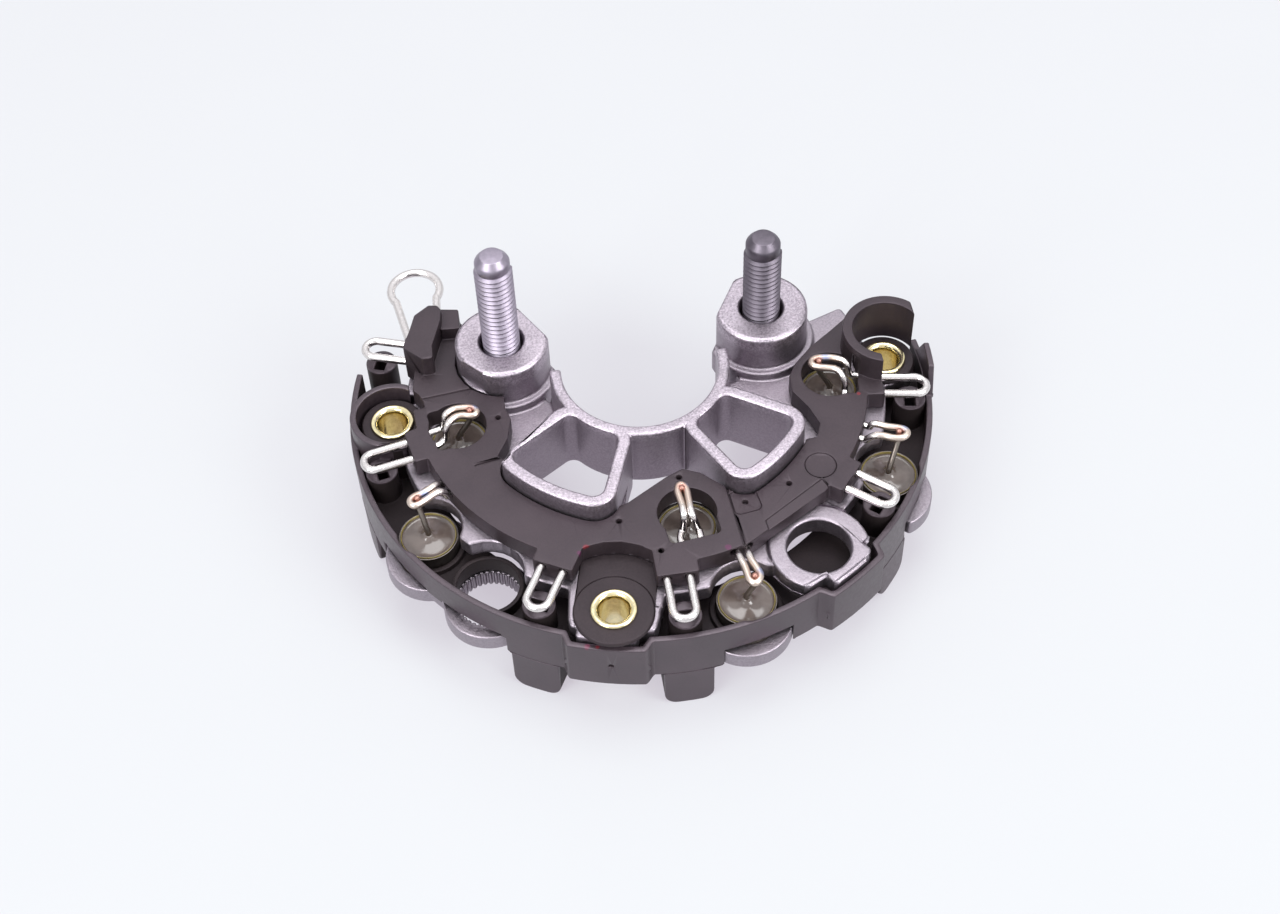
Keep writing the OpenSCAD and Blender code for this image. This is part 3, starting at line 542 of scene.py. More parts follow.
class Bench:
    """Blender's operators, on one piece at a time."""

    MERGE = 0.002 * MM
    WELD = 0.004 * MM

    @staticmethod
    def take(*pieces: bpy.types.Object) -> None:
        """Leaves edit mode, and selects some pieces alone.

        Args:
            pieces: what to select; the first becomes the active one.
        """
        if bpy.context.object is not None and bpy.context.object.mode != "OBJECT":
            bpy.ops.object.mode_set(mode="OBJECT")
        bpy.ops.object.select_all(action="DESELECT")
        for piece in pieces:
            piece.select_set(True)
        if pieces:
            bpy.context.view_layer.objects.active = pieces[0]

    @staticmethod
    def edit(piece: bpy.types.Object) -> None:
        """Enters edit mode on a piece, with all of it selected.

        Args:
            piece: the piece.
        """
        Bench.take(piece)
        bpy.ops.object.mode_set(mode="EDIT")
        bpy.ops.mesh.select_all(action="SELECT")

    @staticmethod
    def done(name: Optional[str] = None) -> bpy.types.Object:
        """Leaves edit mode.

        Args:
            name: a new name for the piece, if it gets one.

        Returns:
            The piece.
        """
        bpy.ops.object.mode_set(mode="OBJECT")
        piece = bpy.context.object
        if name:
            piece.name = name
            piece.data.name = name
        return piece

    @staticmethod
    def modify(piece: bpy.types.Object, kind: str, **settings: Any) -> None:
        """Adds a modifier and applies it.

        Args:
            piece: the piece.
            kind: the modifier's type.
            settings: its attributes.
        """
        Bench.take(piece)
        modifier = piece.modifiers.new(kind.lower(), kind)
        for key, value in settings.items():
            setattr(modifier, key, value)
        bpy.ops.object.modifier_apply(modifier=modifier.name)

    @staticmethod
    def round_edges(piece: bpy.types.Object, width: float, steps: int = 2, angle: float = 32.0) -> None:
        """Rounds the sharp edges, and mends the points that stray from the sharp form.

        Args:
            piece: the piece.
            width: how far each side of an edge the rounding reaches.
            steps: faces across the rounding.
            angle: the least angle, in degrees, that counts as sharp.
        """
        faces = [tuple(face.vertices) for face in piece.data.polygons]
        sharp = BVHTree.FromPolygons([vertex.co.copy() for vertex in piece.data.vertices], faces)
        Bench.modify(
            piece, "BEVEL", width=width * MM, segments=steps, limit_method="ANGLE",
            angle_limit=math.radians(angle), use_clamp_overlap=False, loop_slide=False,
        )
        strays = []
        for vertex in piece.data.vertices:
            nearest, _, _, distance = sharp.find_nearest(vertex.co)
            if distance > width * MM:
                strays.append(vertex.index)
            elif distance > 0.45 * width * MM:
                vertex.co = nearest
        if strays:
            Bench.dissolve(piece, strays)

    @staticmethod
    def dissolve(piece: bpy.types.Object, indices: Sequence[int]) -> None:
        """Takes vertices out and closes the faces over them.

        Args:
            piece: the piece.
            indices: the vertices' numbers.
        """
        Bench.edit(piece)
        bpy.ops.mesh.select_all(action="DESELECT")
        bpy.ops.mesh.select_mode(type="VERT")
        bpy.ops.object.mode_set(mode="OBJECT")
        for index in indices:
            piece.data.vertices[index].select = True
        bpy.ops.object.mode_set(mode="EDIT")
        bpy.ops.mesh.dissolve_verts()
        Bench.done()

    @staticmethod
    def shade(piece: bpy.types.Object, angle: float = 40.0) -> None:
        """Shades a piece smooth, with normals led by the large faces.

        Args:
            piece: the piece.
            angle: the angle in degrees past which an edge stays sharp.
        """
        Bench.take(piece)
        bpy.ops.object.shade_smooth_by_angle(angle=math.radians(angle))
        Bench.modify(piece, "WEIGHTED_NORMAL", keep_sharp=True)

    @staticmethod
    def copy_node(node: str, name: str) -> bpy.types.Object:
        """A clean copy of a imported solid, ready to be worked on.

        Args:
            node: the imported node.
            name: the new piece's name.

        Returns:
            The piece, with its triangles welded and paired.
        """
        source = frame["nodes"][node]
        piece = source.copy()
        piece.data = source.data.copy()
        piece.parent = None
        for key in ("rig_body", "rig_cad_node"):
            if key in piece:
                del piece[key]
        bpy.context.scene.collection.objects.link(piece)
        Bench.edit(piece)
        bpy.ops.mesh.customdata_custom_splitnormals_clear()
        bpy.ops.mesh.remove_doubles(threshold=Bench.WELD)
        bpy.ops.mesh.dissolve_degenerate(threshold=Bench.WELD)
        bpy.ops.mesh.tris_convert_to_quads(face_threshold=math.radians(1), shape_threshold=math.radians(60))
        return Bench.done(name)

    @staticmethod
    def trace(points: Sequence[Point]) -> None:
        """Draws a line of vertices in edit mode, point by point.

        Args:
            points: the line's points.
        """
        Bench.take()
        bpy.ops.mesh.primitive_plane_add(size=MM)
        bpy.ops.object.mode_set(mode="EDIT")
        bpy.ops.mesh.select_all(action="SELECT")
        bpy.ops.mesh.merge(type="CENTER")
        bpy.ops.transform.translate(value=Vector(points[0]) * MM)
        for a, b in zip(points, points[1:]):
            step = (Vector(b) - Vector(a)) * MM
            bpy.ops.mesh.extrude_region_move(TRANSFORM_OT_translate={"value": step})

    @staticmethod
    def turned(
        name: str, profile: Sequence[Plan], at: Plan, foot: float = 0.0, steps: int = 64
    ) -> bpy.types.Object:
        """A turned piece.

        Args:
            name: the piece's name.
            profile: radius and height of each point of its half section.
            at: the axis in plan.
            foot: height of the profile's zero.
            steps: faces round the axis.

        Returns:
            The piece.
        """
        Bench.trace([(r, 0.0, z) for r, z in profile])
        bpy.ops.mesh.select_all(action="SELECT")
        bpy.ops.mesh.spin(steps=steps, angle=2 * math.pi, center=(0, 0, 0), axis=(0, 0, 1))
        bpy.ops.mesh.select_all(action="SELECT")
        bpy.ops.mesh.remove_doubles(threshold=Bench.MERGE)
        bpy.ops.mesh.normals_make_consistent(inside=False)
        bpy.ops.transform.translate(value=Vector((at[0], at[1], foot)) * MM)
        return Bench.done(name)

    @staticmethod
    def drawn(name: str, path: Sequence[Point], radii: Sequence[float]) -> bpy.types.Object:
        """A wire drawn along a path.

        Args:
            name: the piece's name.
            path: its centre line.
            radii: the radius at each point.

        Returns:
            The piece as a mesh.
        """
        Bench.take()
        bpy.ops.curve.primitive_nurbs_path_add(radius=MM)
        curve = bpy.context.object
        data = curve.data
        data.splines.clear()
        line = data.splines.new("POLY")
        line.points.add(len(path) - 1)
        for point, at, radius in zip(line.points, path, radii):
            point.co = (*(v * MM for v in at), 1.0)
            point.radius = radius
        data.dimensions = "3D"
        data.twist_mode = "MINIMUM"
        data.bevel_depth = MM
        data.bevel_resolution = 4
        data.use_fill_caps = True
        bpy.ops.object.convert(target="MESH")
        Bench.edit(bpy.context.object)
        bpy.ops.mesh.remove_doubles(threshold=Bench.MERGE)
        bpy.ops.mesh.normals_make_consistent(inside=False)
        return Bench.done(name)

    @staticmethod
    def join(name: str, pieces: Sequence[bpy.types.Object]) -> bpy.types.Object:
        """Makes several pieces one.

        Args:
            name: the new piece's name.
            pieces: what it is made of.

        Returns:
            The piece.
        """
        Bench.take(*pieces)
        bpy.ops.object.join()
        piece = bpy.context.object
        piece.name = name
        piece.data.name = name
        return piece


class Shop:
    """Gives pieces their finishes, bodies and slots."""

    made: dict[str, bpy.types.Material] = {}

    @classmethod
    def material(cls, finish: Any) -> bpy.types.Material:
        """The finish's material, made once.

        Args:
            finish: the finish.

        Returns:
            Its material.
        """
        if finish.name not in cls.made:
            cls.made[finish.name] = finish.make()
        return cls.made[finish.name]

    @classmethod
    def dress(cls, piece: bpy.types.Object, finish: Any) -> None:
        """Puts one finish on the whole piece."""
        piece.data.materials.clear()
        piece.data.materials.append(cls.material(finish))

    @classmethod
    def hand_in(cls, piece: bpy.types.Object, finish: Any, slot: str, node: str) -> None:
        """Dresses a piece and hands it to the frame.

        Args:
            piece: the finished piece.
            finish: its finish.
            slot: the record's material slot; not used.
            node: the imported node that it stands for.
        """
        cls.dress(piece, finish)
        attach(piece, "root")
        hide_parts(node)
        LOG.info("%s: %d faces", piece.name, len(piece.data.polygons))

    @classmethod
    def paint_shade_in_hollows(cls, piece: bpy.types.Object, finish: Any, radius: float, top: float) -> None:
        """Paints shade on a piece's inner faces by giving them a darker second finish.

        Args:
            piece: the piece, already dressed.
            finish: the darker second finish, which paints the shade.
            radius: how far from the shaft it reaches.
            top: the height that it stays below.
        """
        piece.data.materials.append(cls.material(finish))
        for face in piece.data.polygons:
            x, y, z = (v / MM for v in face.center)
            if z < top and math.hypot(x, y) < radius:
                face.material_index = 1

    @classmethod
    def repaint(cls, node: str, finish: Any) -> None:
        """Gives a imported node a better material."""
        cls.dress(frame["nodes"][node], finish)
        LOG.info("%s repainted", node)


# The parts


def rounded_copy(node: str, name: str, width: float, steps: int = 2) -> bpy.types.Object:
    """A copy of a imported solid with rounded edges.

    Args:
        node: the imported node.
        name: the new piece's name.
        width: how far the rounding reaches.
        steps: faces across the rounding.

    Returns:
        The piece, shaded.
    """
    piece = Bench.copy_node(node, name)
    Bench.round_edges(piece, width, steps)
    Bench.shade(piece)
    return piece


@dataclass
class Castings:
    """The two heat sinks."""

    positive_edge: float = 0.55
    negative_edge: float = 0.35

    def build(self) -> None:
        """Both castings, with their edges rounded."""
        edges = {"positive_heat_sink": self.positive_edge, "negative_heat_sink": self.negative_edge}
        for node, edge in edges.items():
            piece = rounded_copy(node, node + "_casting", edge, 3)
            Shop.hand_in(piece, CastAluminium(), "cast_aluminium", node)


@dataclass
class Mouldings:
    """The wire guide, the terminal board and the washers."""

    edge: float = 0.3
    washer_edge: float = 0.2
    wall_inside: float = 60.4
    painted_shade_below: float = 12.0

    def build(self) -> None:
        """All mouldings, with their edges rounded."""
        guide = rounded_copy("wire_guide", "wire_guide_moulding", self.edge)
        Shop.hand_in(guide, GUIDE_PLASTIC, "black_plastic", "wire_guide")
        # The guide's inner floor gets painted shade from a darker copy of its plastic.
        Shop.paint_shade_in_hollows(guide, PAINTED_SHADE_PLASTIC, self.wall_inside, self.painted_shade_below)
        board = rounded_copy("terminal_board", "terminal_board_moulding", self.edge)
        Shop.hand_in(board, BOARD_PLASTIC, "black_plastic", "terminal_board")
        for side in Side:
            node = side.value + "_washer"
            piece = rounded_copy(node, node + "_moulding", self.washer_edge)
            Shop.hand_in(piece, WASHER_PLASTIC, "washer_plastic", node)


def arc(radius: float, start: float, end: float, steps: int) -> list[Plan]:
    """Points on an arc about the origin, from start to end degrees."""
    return [spot(radius, start + (end - start) * i / steps) for i in range(steps + 1)]


def smooth_line(points: Sequence[Point], steps: int = 4) -> list[Point]:
    """A smooth line through points.

    Args:
        points: what it runs through.
        steps: how many stretches it has between two of them.

    Returns:
        The line's points.
    """
    ends = [points[0], *points, points[-1]]
    line: list[Point] = []
    for a, b, c, d in zip(ends, ends[1:], ends[2:], ends[3:]):
        a, b, c, d = map(Vector, (a, b, c, d))
        for i in range(steps):
            t = i / steps
            once, twice, thrice = c - a, 2 * a - 5 * b + 4 * c - d, 3 * b - a - 3 * c + d
            line.append(tuple(0.5 * (2 * b + once * t + twice * t**2 + thrice * t**3)))
    return line + [tuple(points[-1])]


@dataclass
class Hook:
    """A stator hook: a hairpin of wire over a guide tube."""

    angle: float
    start: float
    turn: float = 57.3
    half: float = 2.25
    wire: float = 0.85
    leg_steps: int = 12
    turn_steps: int = 20

    def make(self, name: str) -> bpy.types.Object:
        """Draws the hairpin.

        Args:
            name: the piece's name.

        Returns:
            The piece.
        """
        leg = [
            (self.start + (self.turn - self.start) * i / self.leg_steps, -self.half)
            for i in range(self.leg_steps + 1)
        ]
        bend = [(self.turn + x, y) for x, y in arc(self.half, -90, 90, self.turn_steps)[1:-1]]
        plan = leg + bend + [(x, -y) for x, y in reversed(leg)]
        turn = Matrix.Rotation(math.radians(self.angle), 3, "Z")
        path = [tuple(turn @ Vector((x, y, Level.WIRE))) for x, y in plan]
        return Bench.drawn(name, path, [self.wire] * len(path))


@dataclass
class Loop:
    """A loop that leaves the board and closes round a diode's lead.

    The points run from one foot at the board's edge to the other, and the nib is the lead's tip.
    """

    points: tuple[Point, ...]
    nib: Point
    wire: float = 0.74
    inset: float = 2.4

    def make(self, name: str) -> bpy.types.Object:
        """Draws the loop, with both feet run on into the board.

        Args:
            name: the piece's name.

        Returns:
            The piece.
        """
        line = [Vector(p) for p in self.points]
        middle = (line[0] + line[-1]) / 2
        inward = middle - Vector((self.nib[0], self.nib[1], middle.z))
        inward.normalize()
        line = [line[0] + inward * self.inset] + line + [line[-1] + inward * self.inset]
        path = smooth_line([tuple(p) for p in line])
        return Bench.drawn(name, path, [self.wire] * len(path))


@dataclass
class Conductors:
    """The three phases' wires and the sensing loop."""

    hooks: tuple[tuple[Hook, Hook], ...] = (
        (Hook(160.5, 45.4), Hook(-168.5, 45.6)),
        (Hook(-118.5, 45.6), Hook(-90.0, 45.6)),
        (Hook(-40.5, 45.6), Hook(-10.3, 47.4)),
    )
    low: tuple[Loop, ...] = (
        Loop(
            (
                (-43.5, -19.6, 17.0), (-44.0, -20.3, 17.6), (-44.3, -21.2, 19.2), (-44.9, -21.9, 19.7),
                (-46.0, -22.6, 19.7), (-47.5, -23.4, 19.7), (-48.9, -23.9, 19.7), (-49.7, -24.7, 19.7),
                (-49.6, -25.6, 19.7), (-48.8, -26.1, 19.7), (-47.4, -25.5, 19.7), (-46.0, -24.6, 19.7),
                (-44.7, -23.8, 19.7), (-43.6, -23.3, 19.5), (-42.8, -22.9, 18.3), (-42.3, -22.6, 17.0),
            ),
            (-48.3, -24.8, 20.9),
        ),
        Loop(
            (
                (12.3, -46.3, 17.0), (12.2, -47.4, 17.7), (12.2, -48.4, 19.3), (12.3, -49.7, 19.7),
                (12.7, -51.4, 19.7), (12.9, -53.2, 19.7), (13.1, -54.6, 19.7), (13.9, -55.5, 19.7),
                (14.9, -54.9, 19.7), (15.3, -53.6, 19.7), (14.9, -51.9, 19.7), (14.3, -50.1, 19.7),
                (14.1, -48.5, 19.5), (14.2, -47.2, 18.3), (14.4, -45.9, 17.0),
            ),
            (14.2, -54.2, 20.8),
        ),
        Loop(
            (
                (44.4, -19.3, 17.0), (44.5, -20.1, 17.8), (44.8, -20.7, 19.4), (45.8, -21.2, 19.7),
                (47.5, -22.1, 19.7), (49.5, -22.8, 19.7), (50.8, -23.6, 19.7), (51.0, -24.6, 19.7),
                (49.9, -25.4, 19.7), (48.0, -25.2, 19.7), (46.3, -24.4, 19.7), (44.6, -23.9, 19.6),
                (43.5, -23.4, 18.4), (43.1, -22.6, 17.0),
            ),
            (49.4, -24.1, 20.8),
        ),
    )
    high: tuple[Loop, ...] = (
        Loop(
            (
                (-43.7, -5.6, 17.0), (-42.3, -5.2, 17.0), (-41.5, -5.2, 17.8), (-41.2, -5.4, 20.0),
                (-40.8, -5.2, 21.3), (-40.0, -4.7, 21.6), (-38.8, -4.2, 21.6), (-37.1, -4.2, 21.6),
                (-35.5, -4.5, 21.6), (-34.6, -5.2, 21.6), (-34.5, -5.9, 21.6), (-35.0, -6.5, 21.6),
                (-35.9, -6.5, 21.6), (-37.2, -6.2, 21.6), (-38.6, -6.3, 21.6), (-39.7, -6.9, 21.5),
                (-40.5, -7.6, 21.2), (-41.1, -8.0, 19.8), (-41.3, -8.1, 17.8), (-42.1, -8.6, 17.0),
                (-43.1, -9.4, 17.0),
            ),
            (-35.9, -5.5, 22.7),
        ),
        Loop(
            (
                (1.9, -40.9, 17.0), (2.4, -39.3, 17.0), (2.8, -38.8, 17.7), (2.9, -38.7, 19.3),
                (3.0, -38.5, 21.0), (3.0, -37.5, 21.6), (3.0, -36.0, 21.6), (2.8, -34.2, 21.6),
                (2.7, -32.7, 21.6), (3.0, -31.6, 21.6), (3.6, -31.2, 21.6), (4.3, -31.8, 21.6),
                (4.5, -33.0, 21.6), (4.5, -34.5, 21.6), (4.5, -36.2, 21.6), (4.5, -37.9, 21.6),
                (4.7, -38.9, 21.0), (5.1, -39.0, 19.3), (5.5, -39.1, 17.7), (5.8, -39.5, 17.0),
                (5.9, -40.5, 17.0),
            ),
            (3.6, -32.3, 22.5),
        ),
        Loop(
            (
                (45.3, -5.4, 17.0), (43.9, -5.0, 17.0), (43.3, -5.0, 17.7), (43.0, -5.3, 19.5),
                (42.6, -5.5, 21.2), (42.0, -4.8, 21.6), (41.0, -4.2, 21.6), (39.5, -3.6, 21.6),
                (37.4, -3.3, 21.6), (36.0, -3.5, 21.6), (35.4, -4.2, 21.6), (35.7, -5.2, 21.6),
                (36.9, -5.8, 21.6), (38.5, -6.3, 21.6), (39.8, -6.8, 21.6), (40.7, -7.8, 21.5),
                (41.1, -8.7, 21.0), (41.5, -9.1, 19.2), (41.5, -9.5, 17.8), (41.4, -10.9, 17.0),
            ),
            (36.9, -4.5, 22.7),
        ),
    )
    sensing: Point = (-44.4, 34.7, 5.3)
    sensing_root: float = 20.6
    sensing_wire: float = 0.9
    low_cream: Point = (0.64, 0.54, 0.47)
    high_cream: Point = (0.60, 0.49, 0.42)
    blue: Point = (0.33, 0.36, 0.50)
    brown: Point = (0.50, 0.29, 0.24)

    def build(self) -> None:
        """Every conductor."""
        for side, hooks, low, high in zip(Side, self.hooks, self.low, self.high):
            name = side.value
            parts = [hook.make(name + "_hook") for hook in hooks]
            parts += [low.make(name + "_low_loop"), high.make(name + "_high_loop")]
            piece = Bench.join(name + "_conductor", parts)
            Bench.shade(piece, 60)
            finish = PlatedWire(name + "_tinned_wire", heat=self.heat(low, high))
            Shop.hand_in(piece, finish, "tinned_wire", name + "_phase_conductor")
        self.sensing_loop()

    def heat(self, low: Loop, high: Loop) -> tuple[Tint, ...]:
        """The tints that welding left on two loops.

        Args:
            low: the loop over the negative diode.
            high: the loop over the positive diode.

        Returns:
            Each tint's place, inner and outer reach, and colour.
        """
        tints: list[Tint] = []
        for loop, cream in ((low, self.low_cream), (high, self.high_cream)):
            x, y, z = loop.nib
            tints.append(((x, y, z - 1.0), 2.5, 7.0, cream))
            tints.append(((x + 1.5, y + 0.9, z - 1.0), 0.4, 1.6, self.blue))
            tints.append(((x, y + 0.2, z - 0.6), 0.4, 1.6, self.brown))
        return tuple(tints)

    def sensing_loop(self) -> None:
        """The large loop at the rear left."""
        x, y, radius = self.sensing
        bend = [(x + px, y + py) for px, py in arc(radius, -35, 215, 40)]
        plan = [(x + 3.7, self.sensing_root)] + bend + [(x - 2.5, self.sensing_root)]
        path = [(px, py, Level.WIRE) for px, py in plan]
        piece = Bench.drawn("sensing_wire", path, [self.sensing_wire] * len(path))
        Bench.shade(piece, 60)
        Shop.hand_in(piece, PlatedWire(), "tinned_wire", "sensing_loop")


@dataclass
class Stud:
    """A threaded output stud in its tower."""

    side: Side
    at: Plan
    height: float
    finish: PlainMetal
    major: float = 3.93
    minor: float = 3.3
    pitch: float = 1.25
    buried: float = 7.5
    plain_tip: float = 3.4

    def build(self) -> None:
        """Joins the thread, the tip and the neck."""
        top = Level.TOWER_TOP + self.height
        foot = Level.TOWER_TOP - self.buried
        turns = int((top - self.plain_tip - foot) / self.pitch)
        end = foot + turns * self.pitch
        parts = [self.thread(foot, turns), self.tip(foot, end, top), self.neck()]
        piece = Bench.join(self.side.value + "_threaded_stud", parts)
        Bench.shade(piece, 35)
        Shop.hand_in(piece, self.finish, self.finish.name, self.side.value + "_stud")

    def thread(self, foot: float, turns: int) -> bpy.types.Object:
        """Winds the thread's section up the stud.

        Args:
            foot: the height where it starts.
            turns: how many turns it has.

        Returns:
            The thread.
        """
        half, crest = self.pitch / 2, 0.1 * self.pitch
        profile = [(self.minor, -half), (self.major, -crest), (self.major, crest), (self.minor, half)]
        Bench.trace([(r, 0.0, z) for r, z in profile])
        thread = Bench.done(self.side.value + "_thread")
        Bench.modify(
            thread, "SCREW", angle=2 * math.pi, screw_offset=self.pitch * MM, iterations=turns, steps=40,
            render_steps=40, use_merge_vertices=True, merge_threshold=Bench.MERGE, axis="Z",
        )
        Bench.edit(thread)
        bpy.ops.mesh.normals_make_consistent(inside=False)
        bpy.ops.transform.translate(value=Vector((self.at[0], self.at[1], foot)) * MM)
        return Bench.done()

    def tip(self, foot: float, end: float, top: float) -> bpy.types.Object:
        """The core, and the plain chamfered end over the thread.

        Args:
            foot: the height where the thread starts.
            end: the height where it ends.
            top: the height of the stud's end.

        Returns:
            The tip.
        """
        core, plain, rise = self.minor - 0.05, self.major - 0.35, top - end
        profile = [
            (core, foot - end - 1.0), (core, 0.2), (plain, 0.7), (plain, rise - 1.7),
            (self.major - 0.6, rise - 1.2), (2.35, rise - 0.05), (2.1, rise), (0.0, rise),
        ]
        return Bench.turned(self.side.value + "_tip", profile, self.at, end)

    def neck(self) -> bpy.types.Object:
        """The head under the casting and the plain neck inside the tower.

        Returns:
            The neck.
        """
        profile = [
            (0.0, -2.6), (6.2, -2.6), (6.5, -2.3), (6.5, -0.1), (6.4, 0.0),
            (4.2, 0.0), (4.2, 7.6), (3.3, 8.6), (0.0, 8.6),
        ]
        return Bench.turned(self.side.value + "_neck", profile, self.at, Level.STUD_NECK)


@dataclass
class Rivet:
    """A hollow rivet with a rolled upper flange."""

    side: Side
    bore: float = 3.0
    flange: float = 4.6

    def build(self) -> None:
        """Turns the rivet from its half section."""
        top, b, f = Level.RIVET_TOP, self.bore, self.flange
        profile = [
            (b + 0.1, 0.0), (f, 0.0), (f, 0.7), (b + 0.55, 0.7), (b + 0.55, top - 0.7),
            (f - 0.15, top - 0.7), (f, top - 0.5), (f - 0.05, top - 0.25), (f - 0.25, top - 0.05),
            (f - 0.55, top), (b + 0.8, top - 0.05), (b + 0.45, top - 0.2), (b + 0.2, top - 0.5),
            (b + 0.05, top - 0.9), (b, top - 1.5), (b, 0.5), (b + 0.1, 0.0),
        ]
        piece = Bench.turned(self.side.value + "_hollow_rivet", profile, RIVETS[self.side])
        Bench.shade(piece, 45)
        Shop.hand_in(piece, YELLOW_BRASS, "yellow_brass", self.side.value + "_rivet")


@dataclass
class Diode:
    """A press-fit diode: cup, sleeve, potting, chip and lead."""

    sink: Sink
    side: Side
    nib: Point
    height: float = 9.8
    sleeve_depth: float = 3.0
    sleeve_inside: float = 5.42
    cup_edge: float = 0.12
    lead_wire: float = 0.6

    @property
    def at(self) -> Plan:
        """The diode's axis in plan."""
        return DIODES[self.sink][self.side]

    @property
    def foot(self) -> float:
        """The height of the cup's underside."""
        return CUP_FOOT[self.sink]

    def called(self, part: str) -> str:
        """The name of one of the diode's parts."""
        return f"{self.sink.value}_{part}_{self.side.value}"

    def build(self) -> None:
        """Builds the parts from the outside in."""
        cup = rounded_copy(self.called("cup"), self.called("metal_cup"), self.cup_edge)
        Shop.hand_in(cup, CUP_METAL, "cup_metal", self.called("cup"))
        self.sleeve()
        self.potting()
        Shop.repaint(self.called("chip"), SILICON)
        self.lead()

    def sleeve(self) -> None:
        """The yellow ring round the potting's edge."""
        h, foot, inside = self.height, self.height - self.sleeve_depth, self.sleeve_inside
        profile = [
            (inside, foot), (5.65, foot), (5.65, h + 0.1), (5.6, h + 0.18),
            (5.53, h + 0.2), (5.46, h + 0.14), (inside, h), (inside, foot),
        ]
        piece = Bench.turned(self.called("yellow_sleeve"), profile, self.at, self.foot)
        Bench.shade(piece)
        Shop.hand_in(piece, SLEEVE_PLASTIC, "sleeve_plastic", self.called("sleeve"))

    def potting(self) -> None:
        """The resin, hollowed round the lead and drawn up along it."""
        h, foot, steps = self.height, self.height - self.sleeve_depth, 15
        dome = [(self.sleeve_inside, foot), (self.sleeve_inside, h - 0.3)]
        for i in range(1, steps):
            t = i / steps
            rim, rise, climb = 0.17 * (1 - t) ** 6, 0.95 * t**1.7, 0.55 * t**9
            dome.append((self.sleeve_inside - 4.62 * t, h - 0.62 + rim + rise + climb))
        dome += [(0.72, h + 0.75), (0.0, h + 0.75)]
        profile = [(0.0, 2.2), (5.64, 2.2), (5.64, foot)] + dome
        piece = Bench.turned(self.called("resin"), profile, self.at, self.foot)
        Bench.shade(piece, 50)
        Shop.hand_in(piece, Resin(), "potting", self.called("potting"))

    def lead(self) -> None:
        """The lead, which leans over to its loop."""
        nib, x, y, top = Vector(self.nib), *self.at, self.foot + self.height
        points = [
            (x, y, self.foot + 3.9), (x, y, top), (x, y, top + 1.6),
            nib - Vector((0, 0, 3.4)), nib - Vector((0, 0, 1.6)), nib,
        ]
        path = smooth_line([tuple(p) for p in points], 5)
        radii = [self.lead_wire] * (len(path) - 2) + [0.56, 0.3]
        piece = Bench.drawn(self.called("wire_lead"), path, radii)
        Bench.shade(piece, 60)
        tint = (self.nib, 1.0, 2.4, (0.42, 0.23, 0.19))
        finish = PlatedWire(self.called("lead_wire"), LEAD_COLOUR, LEAD_ROUGH, (tint,))
        Shop.hand_in(piece, finish, "lead_wire", self.called("lead"))


# The set


@dataclass(frozen=True)
class Lamp:
    """A soft square lamp. Its places and size are metres."""

    name: str
    at: Point
    to: Point
    size: float
    watts: float

    def light(self) -> None:
        """Hangs the lamp and points it."""
        data = bpy.data.lights.new(self.name, "AREA")
        data.size = self.size
        data.energy = self.watts
        lamp = bpy.data.objects.new(self.name, data)
        lamp.location = self.at
        lamp.rotation_euler = (Vector(self.to) - Vector(self.at)).to_track_quat("-Z", "Y").to_euler()
        bpy.context.scene.collection.objects.link(lamp)


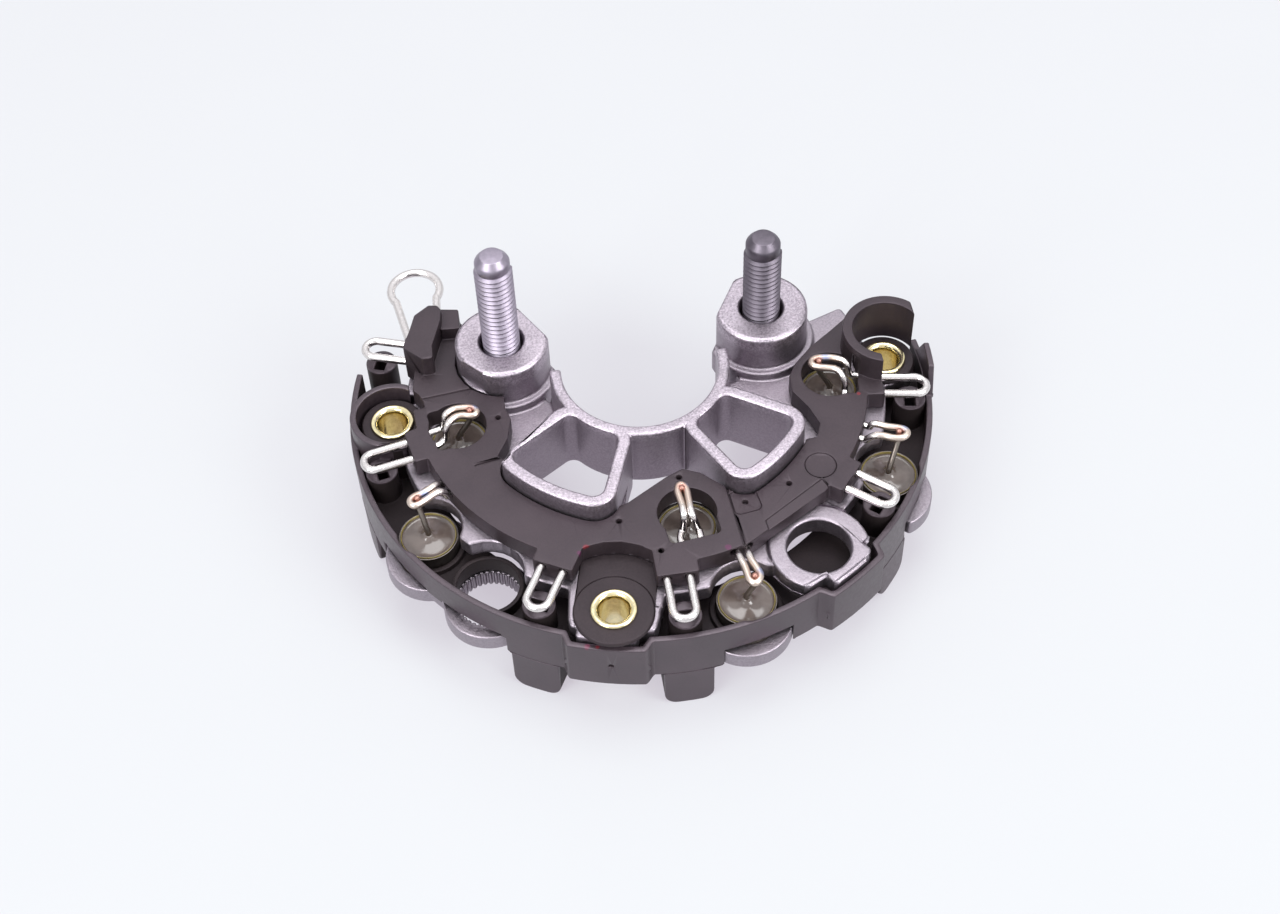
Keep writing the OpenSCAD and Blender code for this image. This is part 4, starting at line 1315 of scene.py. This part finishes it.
@dataclass
class Studio:
    """Floor, lamps, world and camera."""

    lamps: tuple[Lamp, ...] = (
        Lamp("top", (0.05, 0.15, 1.0), (0, 0, 0), 0.6, 5.0),
        Lamp("front_left", (-0.65, -0.55, 0.62), (0, 0, 0.01), 0.5, 7.0),
        Lamp("front_right", (0.65, -0.55, 0.62), (0, 0, 0.01), 0.5, 7.0),
    )
    floor_size: float = 6.0
    paper: tuple[Point, Point] = ((0.184, 0.216, 0.198), (0.190, 0.222, 0.204))
    paper_glow: Point = (0.52, 0.47, 0.54)
    tent: tuple[float, float, float, float] = (-0.1, 0.9, 0.65, 1.15)
    tent_seen: float = 0.92
    tent_colour: Point = (0.96, 0.965, 1.0)
    camera_at: Point = (-31.840, -265.177, 329.750)
    pitch: float = 51.6404
    yaw: float = 6.71386
    roll: float = -2.33006
    focal_pixels: float = 1966.395
    photo_width: float = 1280.0
    sensor: float = 36.0

    def build(self) -> None:
        """Sets up everything round the object."""
        self.floor()
        self.world()
        for lamp in self.lamps:
            lamp.light()
        self.camera()
        bpy.context.scene.view_settings.view_transform = "Standard"

    def floor(self) -> None:
        """A pale floor that keeps the shadow."""
        Bench.take()
        bpy.ops.mesh.primitive_plane_add(size=self.floor_size, location=(0, 0, CAD_BOX[0][2]))
        floor = bpy.context.object
        floor.name = "floor"
        bpy.ops.object.transform_apply(location=True, rotation=False, scale=False)
        g = Surface("floor_paper")
        paper = g.set(
            Base_Color=g.mix(g.noise(40.0, 2.0, 0.5), *self.paper),
            Roughness=0.9,
            Specular_IOR_Level=0.0,
            Emission_Color=self.paper_glow,
            Emission_Strength=1.0,
        )
        floor.data.materials.append(paper)

    def world(self) -> None:
        """White for the camera and through the object, a graded tent for the rest."""
        world = bpy.data.worlds.new("white_tent")
        bpy.context.scene.world = world
        world.use_nodes = True
        g = Graph(world.node_tree)
        camera = g.node("ShaderNodeLightPath", {}, {}, "Is Camera Ray")
        seen = camera.most(g.node("ShaderNodeLightPath", {}, {}, "Is Transmission Ray"))
        where = g.node("ShaderNodeTexCoord", {}, {}, "Generated")
        tent = g.node("ShaderNodeSeparateXYZ", {}, {0: where}, "Z").smooth(*self.tent)
        bright = g.node("ShaderNodeMix", {}, {0: seen, 2: tent, 3: self.tent_seen})
        shade = g.node("ShaderNodeBackground", {}, {"Color": rgba(self.tent_colour), "Strength": bright})
        g.node("ShaderNodeOutputWorld", {}, {0: shade})

    def camera(self) -> None:
        """The photograph's own camera."""
        pitch, yaw, roll = map(math.radians, (self.pitch, self.yaw, self.roll))
        right = Vector((math.cos(yaw), -math.sin(yaw), 0.0))
        level = Vector((math.sin(yaw), math.cos(yaw), 0.0))
        ahead = level * math.cos(pitch) - Vector((0.0, 0.0, math.sin(pitch)))
        up = right.cross(ahead)
        x = math.cos(roll) * right + math.sin(roll) * up
        y = -math.sin(roll) * right + math.cos(roll) * up
        turn = Matrix((x, y, -ahead)).transposed().to_4x4()
        data = bpy.data.cameras.new("view")
        data.sensor_width = self.sensor
        data.lens = self.focal_pixels / self.photo_width * self.sensor
        data.clip_start = 0.01
        camera = bpy.data.objects.new("view", data)
        camera.matrix_world = Matrix.Translation(Vector(self.camera_at) * MM) @ turn
        bpy.context.scene.collection.objects.link(camera)
        bpy.context.scene.camera = camera


def main() -> None:
    """Builds every part in order."""
    logging.basicConfig(level=logging.INFO, format="%(message)s")
    Castings().build()
    Mouldings().build()
    wires = Conductors()
    wires.build()
    Stud(Side.LEFT, (-27.5, 10.4), 25.0, ZINC_PLATE).build()
    Stud(Side.RIGHT, (27.5, 10.4), 20.5, DARK_ZINC).build()
    for side in Side:
        Rivet(side).build()
    for side, low, high in zip(Side, wires.low, wires.high):
        Diode(Sink.NEGATIVE, side, low.nib).build()
        Diode(Sink.POSITIVE, side, high.nib).build()
    Studio().build()


if __name__ == "__main__":
    main()
